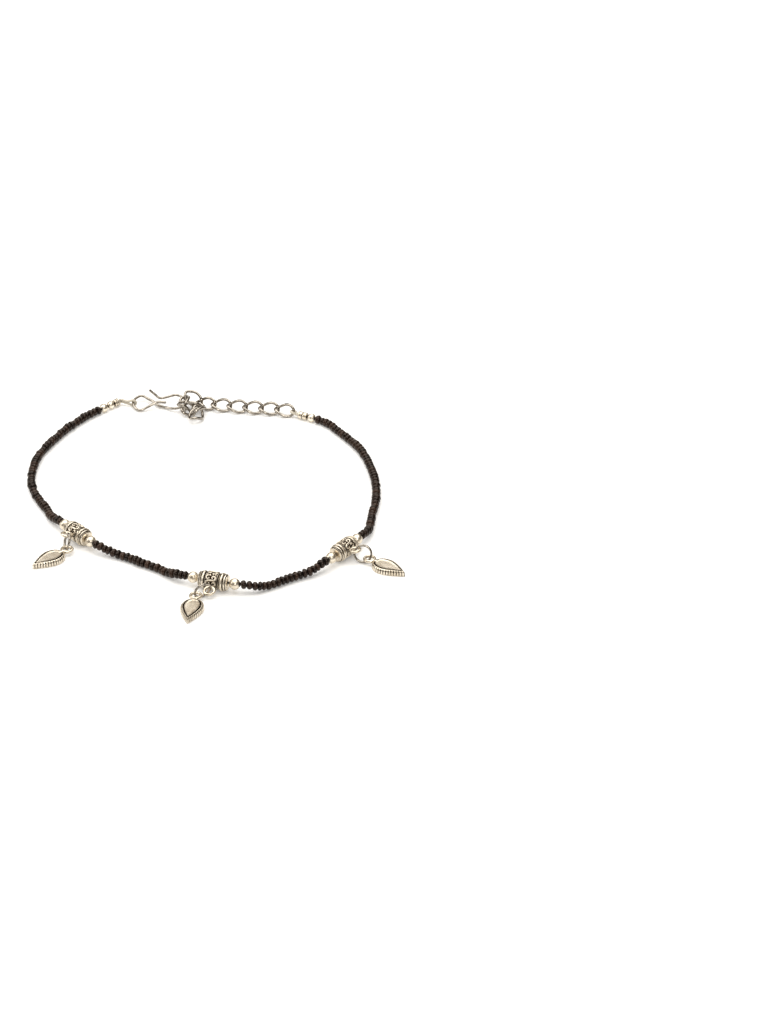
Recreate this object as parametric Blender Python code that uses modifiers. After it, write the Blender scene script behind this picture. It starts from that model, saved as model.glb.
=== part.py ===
"""A payal anklet that lies on a table: black seed beads on one thread, three patterned silver barrels that
each hold a leaf charm on a jump ring, an S-hook and an extension chain. Metres, +Z up, table at z = 0."""

from math import asin, cos, pi, radians, sin, sqrt

import bmesh
import bpy
import numpy as np
from mathutils import Matrix, Vector

MM = 0.001
ANKLET = "payal_anklet"

# Gaps between pieces
BEAD_GAP = 0.0002          # between neighbours on the thread
LINK_GAP = 0.0002          # between two links that hold each other
LOOP_GAP = 0.00032         # between a thread loop and the wire that it holds

# Seed bead strings and their thread
SEED_BEAD_DIAMETER = 0.0023
THREAD_DIAMETER = 0.0005
STRING_STEP = 0.0046       # from one point of the tube to the next
SETTLE_LENGTH = 0.008      # over which a string comes down from a barrel to the table

# Patterned barrel beads
BARREL_DIAMETER = 0.0048
BARREL_LENGTH = 0.0077
BARREL_BORE = 0.0013
SCROLL_WIRE = 0.0005
SCROLL_COUNT = 4
LOOP_DIAMETER = 0.0032     # the cast hanging loop, outside
LOOP_WIRE = 0.00066

# Round beads
SPACER_DIAMETER = 0.0029
SPACER_BORE = 0.001
END_BEAD_DIAMETER = 0.0024
END_BEAD_BORE = 0.0008
CRIMP_BEAD_DIAMETER = 0.0022
CRIMP_BEAD_LENGTH = 0.0021

# Crimps and thread loops at the two ends
LEFT_CRIMP_LENGTH = 0.0017
RIGHT_CRIMP_LENGTH = 0.0026
CRIMP_DIAMETER = 0.0021
LOOP_THREAD_DIAMETER = 0.0005
LOOP_SHOULDER = 0.72       # how square a thread loop turns round its wire, as a share of its reach
LOOP_NECK = 2.0            # how far before the wire its legs still lie side by side, in reaches
CRIMP_FILL = 0.7           # share of a crimp's length that the beading thread leaves to the loop
HELD_REACH = 0.0016        # from the right crimp to the wire that its loop holds

# Jump rings
RING_DIAMETER = 0.0049
RING_WIRE = 0.0006

# Leaf charms
CHARM_LENGTH = 0.0096
CHARM_WIDTH = 0.0058
CHARM_THICKNESS = 0.0015
CHARM_GROOVE = 0.00035
EYE_DIAMETER = 0.0033
EYE_WIRE = 0.0007
EYE_LIFT = 0.00045         # the eye's centre over the middle of the charm's thickness

# Hook and chain
HOOK_WIRE = 0.00075
LINK_LENGTH = 0.0063
LINK_WIDTH = 0.0043
LINK_WIRE = 0.0008
LINK_TWIST = radians(42)
CHAIN_ROLL = radians(35)
CHAIN_LINKS = 6            # that lie in a row
CHAIN_STEP = 0.0001        # from one point of the row's line to the next
END_SHARE = 0.8            # share of a link's half length at which the line gives its heading

# Sides of the meshed round pieces
BARREL_SIDES = 16
BEAD_SIDES = 14
RING_SIDES = 16

BARREL_R = BARREL_DIAMETER / 2
SEED_R = SEED_BEAD_DIAMETER / 2
THREAD_R = THREAD_DIAMETER / 2
LOOP_R = (LOOP_DIAMETER - LOOP_WIRE) / 2
RING_R = (RING_DIAMETER - RING_WIRE) / 2
EYE_R = (EYE_DIAMETER - EYE_WIRE) / 2
END_HEIGHT = END_BEAD_DIAMETER / 2
EYE_HEIGHT = CHARM_THICKNESS / 2 + EYE_LIFT
LINK_PITCH = LINK_LENGTH - 2 * LINK_WIRE - LINK_GAP
HANG_REACH = BARREL_R + LOOP_R - LOOP_WIRE / 2 + SCROLL_WIRE / 2

# Chosen route points on the table, in millimetres. Each stretch of string runs from the piece before it to
# the piece after it. The row of links goes through its first point and on through the others.
ROUTE = {
    "left_side": [(-35.2, 39.4), (-39.5, 32.5), (-43.4, 23.9), (-45.5, 17.1), (-46.0, 9.5), (-45.5, 3.2),
                  (-43.6, -3.1), (-40.2, -9.7)],
    "front_left": [(-20.1, -32.0), (-13.6, -36.0), (-7.3, -39.9)],
    "front_right": [(18.8, -46.8), (23.0, -44.7), (27.0, -41.9)],
    "right_side": [(45.0, -12.3), (45.9, -5.1), (45.8, 2.7), (44.9, 9.5), (43.1, 17.1), (40.4, 24.0),
                   (36.4, 30.2)],
    "chain": [(-5.6, 46.9), (5.0, 45.3), (10.0, 44.5), (15.0, 43.8), (19.4, 43.1), (23.0, 41.7),
              (27.4, 39.5), (31.9, 37.2)],
}

# Where each barrel's middle lies (mm), its heading, how far its hanging loop is turned up, and how its
# jump ring hangs: heading from the loop to the charm's eye, lean about that line, and the arc between the
# two. Then come the heading from the charm's eye to its tip and which end of the barrel comes first.
# Angles in degrees.
BARREL_SETS = {
    #          x      y      heading  turn   ring heading  lean   arc    charm   flip
    "left":  (-30.4, -24.0,  -47.9,   16.0,  -85.0,        -20.0, 174.0, -136.5, False),
    "front": (5.7,   -46.6,  -16.8,  -15.0,  -151.5,       -17.0, 118.5, -97.5,  False),
    "right": (37.9,  -31.5,  54.4,    13.0,  -15.5,        -20.5, 168.5, -36.5,  True),
}

# Where the left end of the strings lies (mm), and the heading of the pieces at both ends, away from the
# string. The right end lies where the chain's last link ends.
LEFT_END = (-31.2, 43.8)
LEFT_HEADING = radians(45)
RIGHT_HEADING = radians(153)

# The hook's wire, from its cut end round the eye to the flared tip, in millimetres
HOOK_ROUTE = [
    (-12.9, 46.6, 1.95), (-15.3, 46.9, 1.95), (-17.5, 46.0, 1.20), (-20.1, 44.8, 0.50), (-21.8, 46.2, 0.80),
    (-22.3, 48.0, 1.15), (-21.7, 50.2, 1.35), (-20.1, 51.5, 1.45), (-18.4, 50.4, 1.20), (-16.8, 49.2, 0.90),
    (-15.0, 47.3, 0.60), (-13.1, 46.3, 0.60), (-10.6, 44.9, 1.00), (-8.7, 45.1, 1.35), (-7.6, 47.2, 1.50),
    (-8.2, 49.8, 1.65), (-10.5, 51.4, 1.75), (-12.8, 50.4, 1.70), (-14.7, 49.7, 1.70), (-16.5, 51.8, 1.80),
    (-18.1, 54.1, 1.90),
]

HOOK_HELD_POINT = 5        # the route point that the left thread loop holds
HOOK_BEND_POINT = 14       # the route point inside which the hooked link hangs

# The bunched links: middle, as shares of a link's length from the hook's bend and up from the table, then
# heading, pitch and roll in degrees
BUNCH_LINKS = {
    "chain_link_1": (0.3698, 0.1016, 0.4063, -18.1, -33.5, 53.3),
    "hooked_link": (-0.0079, -0.1397, 0.3302, 95.2, 9.9, 128.0),
    "tail_link_1": (0.0714, -0.4825, 0.3524, -136.8, 27.9, -21.3),
    "tail_link_2": (0.3190, -0.6778, 0.3381, 16.8, 3.7, -97.1),
    "tail_link_3": (0.6143, -0.7714, 0.3429, 71.8, 0.1, -24.6),
    "tail_link_4": (0.5825, -1.1063, 0.2556, -117.6, 3.0, -27.2),
}

# The middle of the row's first link, as shares of a link's length from the hook's bend
ROW_START = (0.9257, -0.1099)

# A barrel's outer side: share of its length, share of its radius
BARREL_PROFILE = [
    (0.00, 0.62), (0.00, 0.78), (0.03, 0.86), (0.08, 0.86), (0.11, 0.76), (0.14, 0.91), (0.20, 0.91),
    (0.23, 0.80), (0.26, 0.90), (0.68, 0.90), (0.71, 0.78), (0.75, 0.97), (0.82, 0.97), (0.86, 0.77),
    (0.89, 0.90), (0.96, 0.88), (1.00, 0.76), (1.00, 0.62),
]
SCROLL_BAND = (0.26, 0.68)
SCROLL_FLOOR = 0.90

# One scroll of the barrel's relief: shares of its own width round the barrel and of the band's length
SCROLL_OUTLINE = [
    (0.30, 0.36), (0.20, 0.44), (0.12, 0.32), (0.20, 0.16), (0.38, 0.14), (0.50, 0.34), (0.50, 0.66),
    (0.62, 0.86), (0.80, 0.84), (0.88, 0.68), (0.80, 0.56), (0.70, 0.64),
]

# A crimp's outer side: share of its length, share of its radius
CRIMP_PROFILE = [
    (0.00, 0.86), (0.06, 1.00), (0.24, 1.00), (0.34, 0.86), (0.44, 1.00), (0.56, 1.00), (0.66, 0.86),
    (0.76, 1.00), (0.94, 1.00), (1.00, 0.86),
]

# A leaf charm's half outline, from its top to its tip: share of its length, share of its half width
LEAF_OUTLINE = [
    (0.00, 0.00), (0.01, 0.30), (0.05, 0.58), (0.13, 0.82), (0.25, 0.97), (0.36, 1.00), (0.48, 0.93),
    (0.61, 0.76), (0.74, 0.54), (0.86, 0.31), (0.95, 0.12), (1.00, 0.00),
]

# The charm's face, from the rim's outer edge inwards: share of the outline, share of the groove's depth that
# it lies under the rim, and the shift towards the tip as a share of the length
LEAF_STEPS = [
    (0.94, 0.0, 0.0), (0.80, 0.0, -0.008), (0.76, 1.0, -0.010), (0.70, 1.0, -0.012), (0.66, 0.1, -0.014),
    (0.58, -0.3, -0.016),
]

MATERIALS = {
    #                  colour                   roughness  metallic
    "antique_silver": ((0.62, 0.57, 0.50, 1.0), 0.34,      1.0),
    "bright_silver":  ((0.80, 0.77, 0.71, 1.0), 0.22,      1.0),
    "steel_wire":     ((0.60, 0.58, 0.54, 1.0), 0.28,      1.0),
    "black_glass":    ((0.012, 0.009, 0.008, 1.0), 0.16,   0.0),
    "loop_thread":    ((0.62, 0.59, 0.50, 1.0), 0.40,      0.0),
}


def clear_scene():
    for obj in list(bpy.data.objects):
        bpy.data.objects.remove(obj, do_unlink=True)


def make_collection(name):
    collection = bpy.data.collections.new(name)
    bpy.context.scene.collection.children.link(collection)
    return collection


def make_materials():
    made = {}
    for name, (colour, roughness, metallic) in MATERIALS.items():
        material = bpy.data.materials.new(name)
        material.use_nodes = True
        shader = material.node_tree.nodes["Principled BSDF"]
        shader.inputs["Base Color"].default_value = colour
        shader.inputs["Roughness"].default_value = roughness
        shader.inputs["Metallic"].default_value = metallic
        made[name] = material
    return made


def place(obj, matrix):
    obj.parent = ORIGIN
    obj.matrix_world = matrix


def add_object(name, data, material, matrix=Matrix.Identity(4)):
    obj = bpy.data.objects.new(name, data)
    if not data.materials:
        data.materials.append(SHADES[material])
    PARTS.objects.link(obj)
    place(obj, matrix)
    return obj


# Curves


def flat(points, height):
    """Route points in millimetres, as metres at one height."""
    return [Vector((x * MM, y * MM, height)) for x, y in points]


def direction(heading):
    return Vector((cos(heading), sin(heading), 0))


def smooth(points, step, cyclic=False):
    """Points about one step apart on a centripetal Catmull-Rom curve through the given ones."""
    pts = np.array([tuple(p) for p in points])
    if cyclic:
        pts = np.vstack([pts[-1:], pts, pts[:2]])
    else:
        pts = np.vstack([2 * pts[0] - pts[1], pts, 2 * pts[-1] - pts[-2]])
    dense = []
    for p0, p1, p2, p3 in zip(pts, pts[1:], pts[2:], pts[3:]):
        knots = np.cumsum([0.0] + [max(np.linalg.norm(b - a), 1e-9) ** 0.5
                                   for a, b in ((p0, p1), (p1, p2), (p2, p3))])
        t = np.linspace(knots[1], knots[2], 24, endpoint=False)[:, None]
        a1 = (knots[1] - t) / (knots[1] - knots[0]) * p0 + (t - knots[0]) / (knots[1] - knots[0]) * p1
        a2 = (knots[2] - t) / (knots[2] - knots[1]) * p1 + (t - knots[1]) / (knots[2] - knots[1]) * p2
        a3 = (knots[3] - t) / (knots[3] - knots[2]) * p2 + (t - knots[2]) / (knots[3] - knots[2]) * p3
        b1 = (knots[2] - t) / (knots[2] - knots[0]) * a1 + (t - knots[0]) / (knots[2] - knots[0]) * a2
        b2 = (knots[3] - t) / (knots[3] - knots[1]) * a2 + (t - knots[1]) / (knots[3] - knots[1]) * a3
        dense.append((knots[2] - t) / (knots[2] - knots[1]) * b1
                     + (t - knots[1]) / (knots[2] - knots[1]) * b2)
    dense = np.vstack(dense + [pts[-2][None, :]])
    along = np.concatenate([[0.0], np.cumsum(np.linalg.norm(np.diff(dense, axis=0), axis=1))])
    count = max(2, round(along[-1] / step))
    marks = np.linspace(0.0, along[-1], count + 1)
    if cyclic:
        marks = marks[:-1]
    return [Vector([float(np.interp(m, along, dense[:, axis])) for axis in range(3)]) for m in marks]


def wire(name, points, radius, material, cyclic=False, sides=6, radii=None):
    """A wire, cord or ring: a POLY curve with a round bevel and closed ends."""
    curve = bpy.data.curves.new(name, "CURVE")
    curve.dimensions = "3D"
    curve.bevel_depth = radius
    curve.bevel_resolution = (sides - 4) // 2
    curve.use_fill_caps = True
    spline = curve.splines.new("POLY")
    spline.points.add(len(points) - 1)
    spline.use_cyclic_u = cyclic
    spline.use_smooth = True
    for i, (point, spot) in enumerate(zip(spline.points, points)):
        point.co = (*spot, 1.0)
        point.radius = radii[i] / radius if radii else 1.0
    return add_object(name, curve, material)


def as_mesh(obj):
    """The evaluated mesh of a curve object, welded, in a new object that takes the curve's place."""
    depsgraph = bpy.context.evaluated_depsgraph_get()
    mesh = bpy.data.meshes.new_from_object(obj.evaluated_get(depsgraph))
    bm = bmesh.new()
    bm.from_mesh(mesh)
    bmesh.ops.remove_doubles(bm, verts=bm.verts, dist=1e-6)
    bmesh.ops.recalc_face_normals(bm, faces=bm.faces)
    bm.to_mesh(mesh)
    bm.free()
    name = obj.name
    matrix = obj.matrix_world.copy()
    materials = list(obj.data.materials)
    bpy.data.objects.remove(obj, do_unlink=True)
    mesh.materials.clear()
    for material in materials:
        mesh.materials.append(material)
    made = bpy.data.objects.new(name, mesh)
    PARTS.objects.link(made)
    place(made, matrix)
    return made


def to_cutters(objects):
    for obj in objects:
        PARTS.objects.unlink(obj)
        CUTTERS.objects.link(obj)
        obj.hide_render = True
        obj.display_type = "WIRE"


def unite(obj, others):
    """Booleans that join the others to the object, baked into its mesh."""
    for other in others:
        modifier = obj.modifiers.new(other.name, "BOOLEAN")
        modifier.operation = "UNION"
        modifier.solver = "EXACT"
        modifier.object = other
    to_cutters(others)
    depsgraph = bpy.context.evaluated_depsgraph_get()
    mesh = bpy.data.meshes.new_from_object(obj.evaluated_get(depsgraph))
    obj.modifiers.clear()
    obj.data = mesh
    smooth_shade(mesh)


def smooth_shade(mesh):
    mesh.shade_smooth()
    mesh.set_sharp_from_angle(angle=radians(40))


# Turned pieces


def turned(name, profile, sides, material, matrix=Matrix.Identity(4)):
    """A closed profile of (radius, height), outer side from top to bottom, turned about Z."""
    mesh = bpy.data.meshes.new(name)
    count = len(profile)
    mesh.from_pydata([(r, 0, z) for r, z in profile], [(i, (i + 1) % count) for i in range(count)], [])
    obj = add_object(name, mesh, material, matrix)
    screw = obj.modifiers.new("Turn", "SCREW")
    screw.axis = "Z"
    screw.angle = 2 * pi
    screw.steps = sides
    screw.render_steps = sides
    screw.use_merge_vertices = True
    screw.merge_threshold = 1e-6
    return obj


def drilled_ball(name, diameter, bore, material, matrix, length=None):
    """A bead with a hole through it; a length under the diameter makes it a rondelle."""
    radius = diameter / 2
    flatten = (length or diameter) / diameter
    start = asin(bore / diameter)
    rows = 8
    profile = []
    for i in range(rows + 1):
        angle = start + (pi - 2 * start) * i / rows
        profile.append((radius * sin(angle), radius * cos(angle) * flatten))
    return turned(name, profile, BEAD_SIDES, material, matrix)


def along_string(spot, heading, roll=0.0, flip=False):
    """A frame at a spot: Z along the string or, flipped, against it, X outwards and turned up by roll."""
    axis = direction(heading)
    outward = Vector((axis.y, -axis.x, 0))
    hang = outward * cos(roll) + Vector((0, 0, 1)) * sin(roll)
    if flip:
        axis = -axis
    side = axis.cross(hang)
    matrix = Matrix((hang, side, axis)).transposed().to_4x4()
    matrix.translation = spot
    return matrix


def barrel_mesh():
    """One barrel with its raised scrolls and its cast hanging loop, which the three barrels share."""
    half = BARREL_LENGTH / 2
    profile = [(BARREL_R * r, BARREL_LENGTH * s - half) for s, r in reversed(BARREL_PROFILE)]
    bore = BARREL_BORE / 2
    profile += [(bore, -half), (bore, half)]
    body = turned("barrel_body", profile, BARREL_SIDES, "antique_silver")
    low = SCROLL_BAND[0] * BARREL_LENGTH - half
    high = SCROLL_BAND[1] * BARREL_LENGTH - half
    floor = BARREL_R * SCROLL_FLOOR
    joined = []
    for i in range(SCROLL_COUNT):
        middle = 2 * pi * (i + 0.5) / SCROLL_COUNT
        points = []
        for across, down in SCROLL_OUTLINE:
            angle = middle + (across - 0.5) * 2 * pi / SCROLL_COUNT
            points.append(Vector((floor * cos(angle), floor * sin(angle), high + (low - high) * down)))
        joined.append(as_mesh(wire(f"scroll_{i}", points, SCROLL_WIRE / 2, "antique_silver")))
    loop = [Vector((HANG_REACH + LOOP_R * cos(a), 0, LOOP_R * sin(a)))
            for a in np.linspace(0, 2 * pi, RING_SIDES, endpoint=False)]
    joined.append(as_mesh(wire("hanging_loop", loop, LOOP_WIRE / 2, "antique_silver", cyclic=True)))
    unite(body, joined)
    mesh = body.data
    bpy.data.objects.remove(body, do_unlink=True)
    return mesh


# Charms and rings


def leaf_points(length, width):
    upper = [(s * length, w * width / 2) for s, w in LEAF_OUTLINE]
    lower = [(x, -y) for x, y in reversed(upper[1:-1])]
    return upper + lower


def charm_mesh():
    """A leaf charm with its cast eye: the eye is over the origin, the tip towards +X, the back at 0."""
    top = EYE_R + EYE_WIRE / 4
    bm = bmesh.new()
    base = bm.faces.new([bm.verts.new((top + x, y, 0)) for x, y in leaf_points(CHARM_LENGTH, CHARM_WIDTH)])
    bmesh.ops.recalc_face_normals(bm, faces=[base])
    if base.normal.z > 0:
        base.normal_flip()
    grown = bmesh.ops.extrude_face_region(bm, geom=[base], use_keep_orig=True)
    lifted = [v for v in grown["geom"] if isinstance(v, bmesh.types.BMVert)]
    bmesh.ops.translate(bm, verts=lifted, vec=(0, 0, CHARM_THICKNESS))
    face = next(f for f in grown["geom"] if isinstance(f, bmesh.types.BMFace))
    middle = top + CHARM_LENGTH * 0.42
    share = 1.0
    depth = 0.0
    shift = 0.0
    for new_share, new_depth, new_shift in LEAF_STEPS:
        step = bmesh.ops.extrude_discrete_faces(bm, faces=[face])
        face = step["faces"][0]
        verts = list(face.verts)
        factor = new_share / share
        centre = Vector((middle + shift * CHARM_LENGTH, 0, 0))
        bmesh.ops.scale(bm, vec=(factor, factor, 1), space=Matrix.Translation(-centre), verts=verts)
        moved = ((new_shift - shift) * CHARM_LENGTH, 0, (depth - new_depth) * CHARM_GROOVE)
        bmesh.ops.translate(bm, vec=moved, verts=verts)
        share = new_share
        depth = new_depth
        shift = new_shift
    bmesh.ops.recalc_face_normals(bm, faces=bm.faces)
    mesh = bpy.data.meshes.new("leaf_charm")
    bm.to_mesh(mesh)
    bm.free()
    body = add_object("leaf_body", mesh, "antique_silver")
    eye = [Vector((EYE_R * cos(a), EYE_R * sin(a), EYE_HEIGHT))
           for a in np.linspace(0, 2 * pi, RING_SIDES, endpoint=False)]
    unite(body, [as_mesh(wire("charm_eye", eye, EYE_WIRE / 2, "antique_silver", cyclic=True))])
    mesh = body.data
    bpy.data.objects.remove(body, do_unlink=True)
    return mesh


def ring_frame(hole, heading, lean, arc):
    """The jump ring's frame, and the spot where it passes the charm's eye."""
    chord = 2 * RING_R * sin(arc / 2)
    drop = (hole.z - EYE_HEIGHT) / chord
    flat_part = sqrt(1 - drop * drop)
    along = Vector((cos(heading) * flat_part, sin(heading) * flat_part, -drop))
    upright = (Vector((0, 0, 1)) - along * along.z).normalized()
    across = along.cross(upright)
    rise = upright * cos(lean) + across * sin(lean)
    centre = hole + along * (chord / 2) + rise * (RING_R * cos(arc / 2))
    matrix = Matrix((along, rise, along.cross(rise))).transposed().to_4x4()
    matrix.translation = centre
    return matrix, hole + along * chord


# Chain


def link_points():
    """A twisted oval: its wire's middle line, long along X."""
    half_long = (LINK_LENGTH - LINK_WIRE) / 2
    half_wide = (LINK_WIDTH - LINK_WIRE) / 2
    points = []
    for angle in np.linspace(0, 2 * pi, RING_SIDES, endpoint=False):
        x = half_long * cos(angle)
        y = half_wide * sin(angle)
        twist = LINK_TWIST * x / half_long
        points.append(Vector((x, y * cos(twist), y * sin(twist))))
    return points


def link_frame(spot, heading, pitch, roll):
    turn = Matrix.Rotation(heading, 4, "Z") @ Matrix.Rotation(-pitch, 4, "Y") @ Matrix.Rotation(roll, 4, "X")
    return Matrix.Translation(spot) @ turn


def rest_height(points, turn, radius):
    """How high a wire's frame stands when its lowest side touches the table."""
    return radius - min((turn @ p).z for p in points)


def end_loop(name, start, heading, held, held_radius, across):
    """A thread loop whose two legs leave a crimp side by side and close round a held wire, in a plane that
    holds the across direction."""
    thread = LOOP_THREAD_DIAMETER / 2
    leg = thread + BEAD_GAP / 2
    grip = held_radius + thread + LOOP_GAP
    leave = start + direction(heading) * LOOP_THREAD_DIAMETER
    onward = held - start
    onward.z = 0
    onward.normalize()
    legs = [start - direction(heading) * LOOP_THREAD_DIAMETER, start, leave]
    if (held - leave).length > grip * (LOOP_NECK + 1):
        legs.append(held - onward * (grip * LOOP_NECK))
    first = [p + across * leg for p in legs]
    second = [p - across * leg for p in legs]
    turn = held + onward * grip
    shoulder = onward * (grip * LOOP_SHOULDER)
    reach = across * (grip * LOOP_SHOULDER)
    points = first + [held + across * grip, held + shoulder + reach, turn, held + shoulder - reach,
                      held - across * grip] + second[::-1]
    return wire(name, smooth(points, LOOP_THREAD_DIAMETER * 1.4), thread, "loop_thread")


# Assembly


def barrel_ends(name):
    """Where the string stops before and after a barrel and its two spacers, and the barrel's frame."""
    x, y, heading, turn = BARREL_SETS[name][:4]
    flip = BARREL_SETS[name][-1]
    heading = radians(heading)
    spot = Vector((x * MM, y * MM, BARREL_R))
    reach = BARREL_LENGTH / 2 + BEAD_GAP + SPACER_DIAMETER + BEAD_GAP
    axis = direction(heading)
    return spot - axis * reach, spot + axis * reach, along_string(spot, heading, radians(turn), flip)


def seed_stretch(start, end, route, start_heading, end_heading):
    """The middle line of one stretch of seed beads, and the height that it settles to."""
    lead = SEED_BEAD_DIAMETER
    first = start + direction(start_heading) * lead
    last = end - direction(end_heading) * lead
    low = min(start.z, end.z, SEED_R)
    points = [start, first] + flat(route, low) + [last, end]
    line = smooth([Vector((p.x, p.y, 0)) for p in points], STRING_STEP)
    total = sum((b - a).length for a, b in zip(line, line[1:]))
    done = 0.0
    for i, point in enumerate(line):
        if i:
            done += (Vector((point.x, point.y)) - Vector((line[i - 1].x, line[i - 1].y))).length
        rise_start = ease(1 - done / SETTLE_LENGTH) * (start.z - SEED_R)
        rise_end = ease(1 - (total - done) / SETTLE_LENGTH) * (end.z - SEED_R)
        point.z = SEED_R + rise_start + rise_end
    return line


def ease(share):
    share = min(1.0, max(0.0, share))
    return share * share * (3 - 2 * share)


def string_node(name, runs):
    """A bead string: runs of (points, radius), each run closed down to the thread at both its ends."""
    points = []
    radii = []
    for run, radius in runs:
        if radius > THREAD_R:
            first = (run[1] - run[0]).normalized()
            last = (run[-1] - run[-2]).normalized()
            points += [run[0], run[0] + first * BEAD_GAP] + run[1:-1] + [run[-1] - last * BEAD_GAP, run[-1]]
            radii += [THREAD_R] + [radius] * len(run) + [THREAD_R]
        else:
            points += run
            radii += [THREAD_R] * len(run)
    wire(name, points, SEED_R, "black_glass", sides=8, radii=radii)


def string_beads(spot, heading, items):
    """Pieces threaded one after another from a spot; returns where the last one ends."""
    travelled = 0.0
    for build, length in items:
        centre = spot + direction(heading) * (travelled + BEAD_GAP + length / 2)
        build(along_string(centre, heading))
        travelled += BEAD_GAP + length
    return spot + direction(heading) * travelled


def crimp(name, length, material):
    def build(matrix):
        radius = CRIMP_DIAMETER / 2
        bore = LOOP_THREAD_DIAMETER + BEAD_GAP / 2 + BEAD_GAP
        profile = [(radius * r, length / 2 - length * s) for s, r in CRIMP_PROFILE]
        profile += [(bore, -length / 2), (bore, length / 2)]
        turned(name, profile, BEAD_SIDES, material, matrix)
    return build


def bead(name, diameter, bore, material, length=None):
    def build(matrix):
        drilled_ball(name, diameter, bore, material, matrix, length)
    return build


def build_ends(left_start, right_start):
    """The beads and crimps at the strings' two ends; returns the spots where the thread loops leave."""
    left = string_beads(left_start, LEFT_HEADING, [
        (bead("end_bead_left", END_BEAD_DIAMETER, END_BEAD_BORE, "bright_silver"), END_BEAD_DIAMETER),
        (bead("crimp_bead_left", CRIMP_BEAD_DIAMETER, END_BEAD_BORE, "bright_silver", CRIMP_BEAD_LENGTH),
         CRIMP_BEAD_LENGTH),
        (crimp("ribbed_crimp_left", LEFT_CRIMP_LENGTH, "antique_silver"), LEFT_CRIMP_LENGTH),
    ])
    right = string_beads(right_start, RIGHT_HEADING, [
        (bead("end_bead_right", END_BEAD_DIAMETER, END_BEAD_BORE, "bright_silver"), END_BEAD_DIAMETER),
        (crimp("crimp_tube_right", RIGHT_CRIMP_LENGTH, "bright_silver"), RIGHT_CRIMP_LENGTH),
    ])
    return left, right


def build_strings(left_start, right_start, left_crimp_end, right_crimp_end):
    """Two bead strings that meet inside the front barrel."""
    ends = {name: barrel_ends(name) for name in BARREL_SETS}
    headings = {name: radians(BARREL_SETS[name][2]) for name in BARREL_SETS}
    left_thread_end = left_crimp_end - direction(LEFT_HEADING) * (LEFT_CRIMP_LENGTH * CRIMP_FILL)
    right_thread_end = right_crimp_end - direction(RIGHT_HEADING) * (RIGHT_CRIMP_LENGTH * CRIMP_FILL)
    front_middle = ends["front"][2].translation
    meet = direction(headings["front"]) * (BEAD_GAP / 2)
    left_side = seed_stretch(left_start, ends["left"][0], ROUTE["left_side"], LEFT_HEADING + pi,
                             headings["left"])
    front_left = seed_stretch(ends["left"][1], ends["front"][0], ROUTE["front_left"], headings["left"],
                              headings["front"])
    front_right = seed_stretch(ends["front"][1], ends["right"][0], ROUTE["front_right"], headings["front"],
                               headings["right"])
    right_side = seed_stretch(ends["right"][1], right_start, ROUTE["right_side"], headings["right"],
                              RIGHT_HEADING)
    string_node("bead_string_left", [
        ([left_thread_end], THREAD_R), (left_side, SEED_R), (front_left, SEED_R),
        ([front_middle - meet], THREAD_R),
    ])
    string_node("bead_string_right", [
        ([front_middle + meet], THREAD_R), (front_right, SEED_R), (right_side, SEED_R),
        ([right_thread_end], THREAD_R),
    ])


def build_barrel_sets():
    """The three barrels with their spacers, jump rings and charms."""
    barrel = barrel_mesh()
    charm = charm_mesh()
    circle = [Vector((RING_R * cos(a), RING_R * sin(a), 0))
              for a in np.linspace(0, 2 * pi, RING_SIDES, endpoint=False)]
    for name, (x, y, heading, turn, ring_heading, lean, arc, charm_heading, _) in BARREL_SETS.items():
        frame = barrel_ends(name)[2]
        add_object(f"barrel_{name}", barrel, "antique_silver", frame)
        axis = direction(radians(heading))
        offset = BARREL_LENGTH / 2 + BEAD_GAP + SPACER_DIAMETER / 2
        for label, side in (("first", -1), ("second", 1)):
            matrix = along_string(frame.translation + axis * offset * side, radians(heading))
            drilled_ball(f"spacer_{name}_{label}", SPACER_DIAMETER, SPACER_BORE, "bright_silver", matrix)
        hole = frame @ Vector((HANG_REACH, 0, 0))
        matrix, eye = ring_frame(hole, radians(ring_heading), radians(lean), radians(arc))
        place(wire(f"jump_ring_{name}", circle, RING_WIRE / 2, "steel_wire", cyclic=True), matrix)
        spot = Matrix.Translation((eye.x, eye.y, 0))
        add_object(f"leaf_charm_{name}", charm, "antique_silver",
                   spot @ Matrix.Rotation(radians(charm_heading), 4, "Z"))


def lay_chain():
    """The frames of all links, and the middle of the wire that the right thread loop holds."""
    roll = Matrix.Rotation(CHAIN_ROLL, 4, "X")
    height = rest_height(link_points(), roll, LINK_WIRE / 2)
    half = (LINK_LENGTH - LINK_WIRE) / 2
    bend = Vector(HOOK_ROUTE[HOOK_BEND_POINT]) * MM
    start = Vector((bend.x + ROW_START[0] * LINK_LENGTH, bend.y + ROW_START[1] * LINK_LENGTH, height))
    route = flat(ROUTE["chain"], height)
    line = smooth(route[:1] + [start] + route[1:], CHAIN_STEP)
    along = np.concatenate([[0.0], np.cumsum([(b - a).length for a, b in zip(line, line[1:])])])
    first = min(range(len(line)), key=lambda k: (line[k] - start).length)
    frames = {}
    for i in range(CHAIN_LINKS):
        middle = along[first] + i * LINK_PITCH
        at = line[int(np.searchsorted(along, middle))]
        ahead = line[int(np.searchsorted(along, middle + half * END_SHARE))]
        behind = line[int(np.searchsorted(along, middle - half * END_SHARE))]
        run = ahead - behind
        frames[f"chain_link_{i + 2}"] = link_frame(at, np.arctan2(run.y, run.x), 0.0, CHAIN_ROLL)
    for name, (x, y, z, heading, pitch, turn) in BUNCH_LINKS.items():
        spot = Vector((bend.x, bend.y, 0)) + Vector((x, y, z)) * LINK_LENGTH
        frames[name] = link_frame(spot, radians(heading), radians(pitch), radians(turn))
    held = line[int(np.searchsorted(along, along[first] + (CHAIN_LINKS - 1) * LINK_PITCH + half))]
    return frames, held


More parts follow.
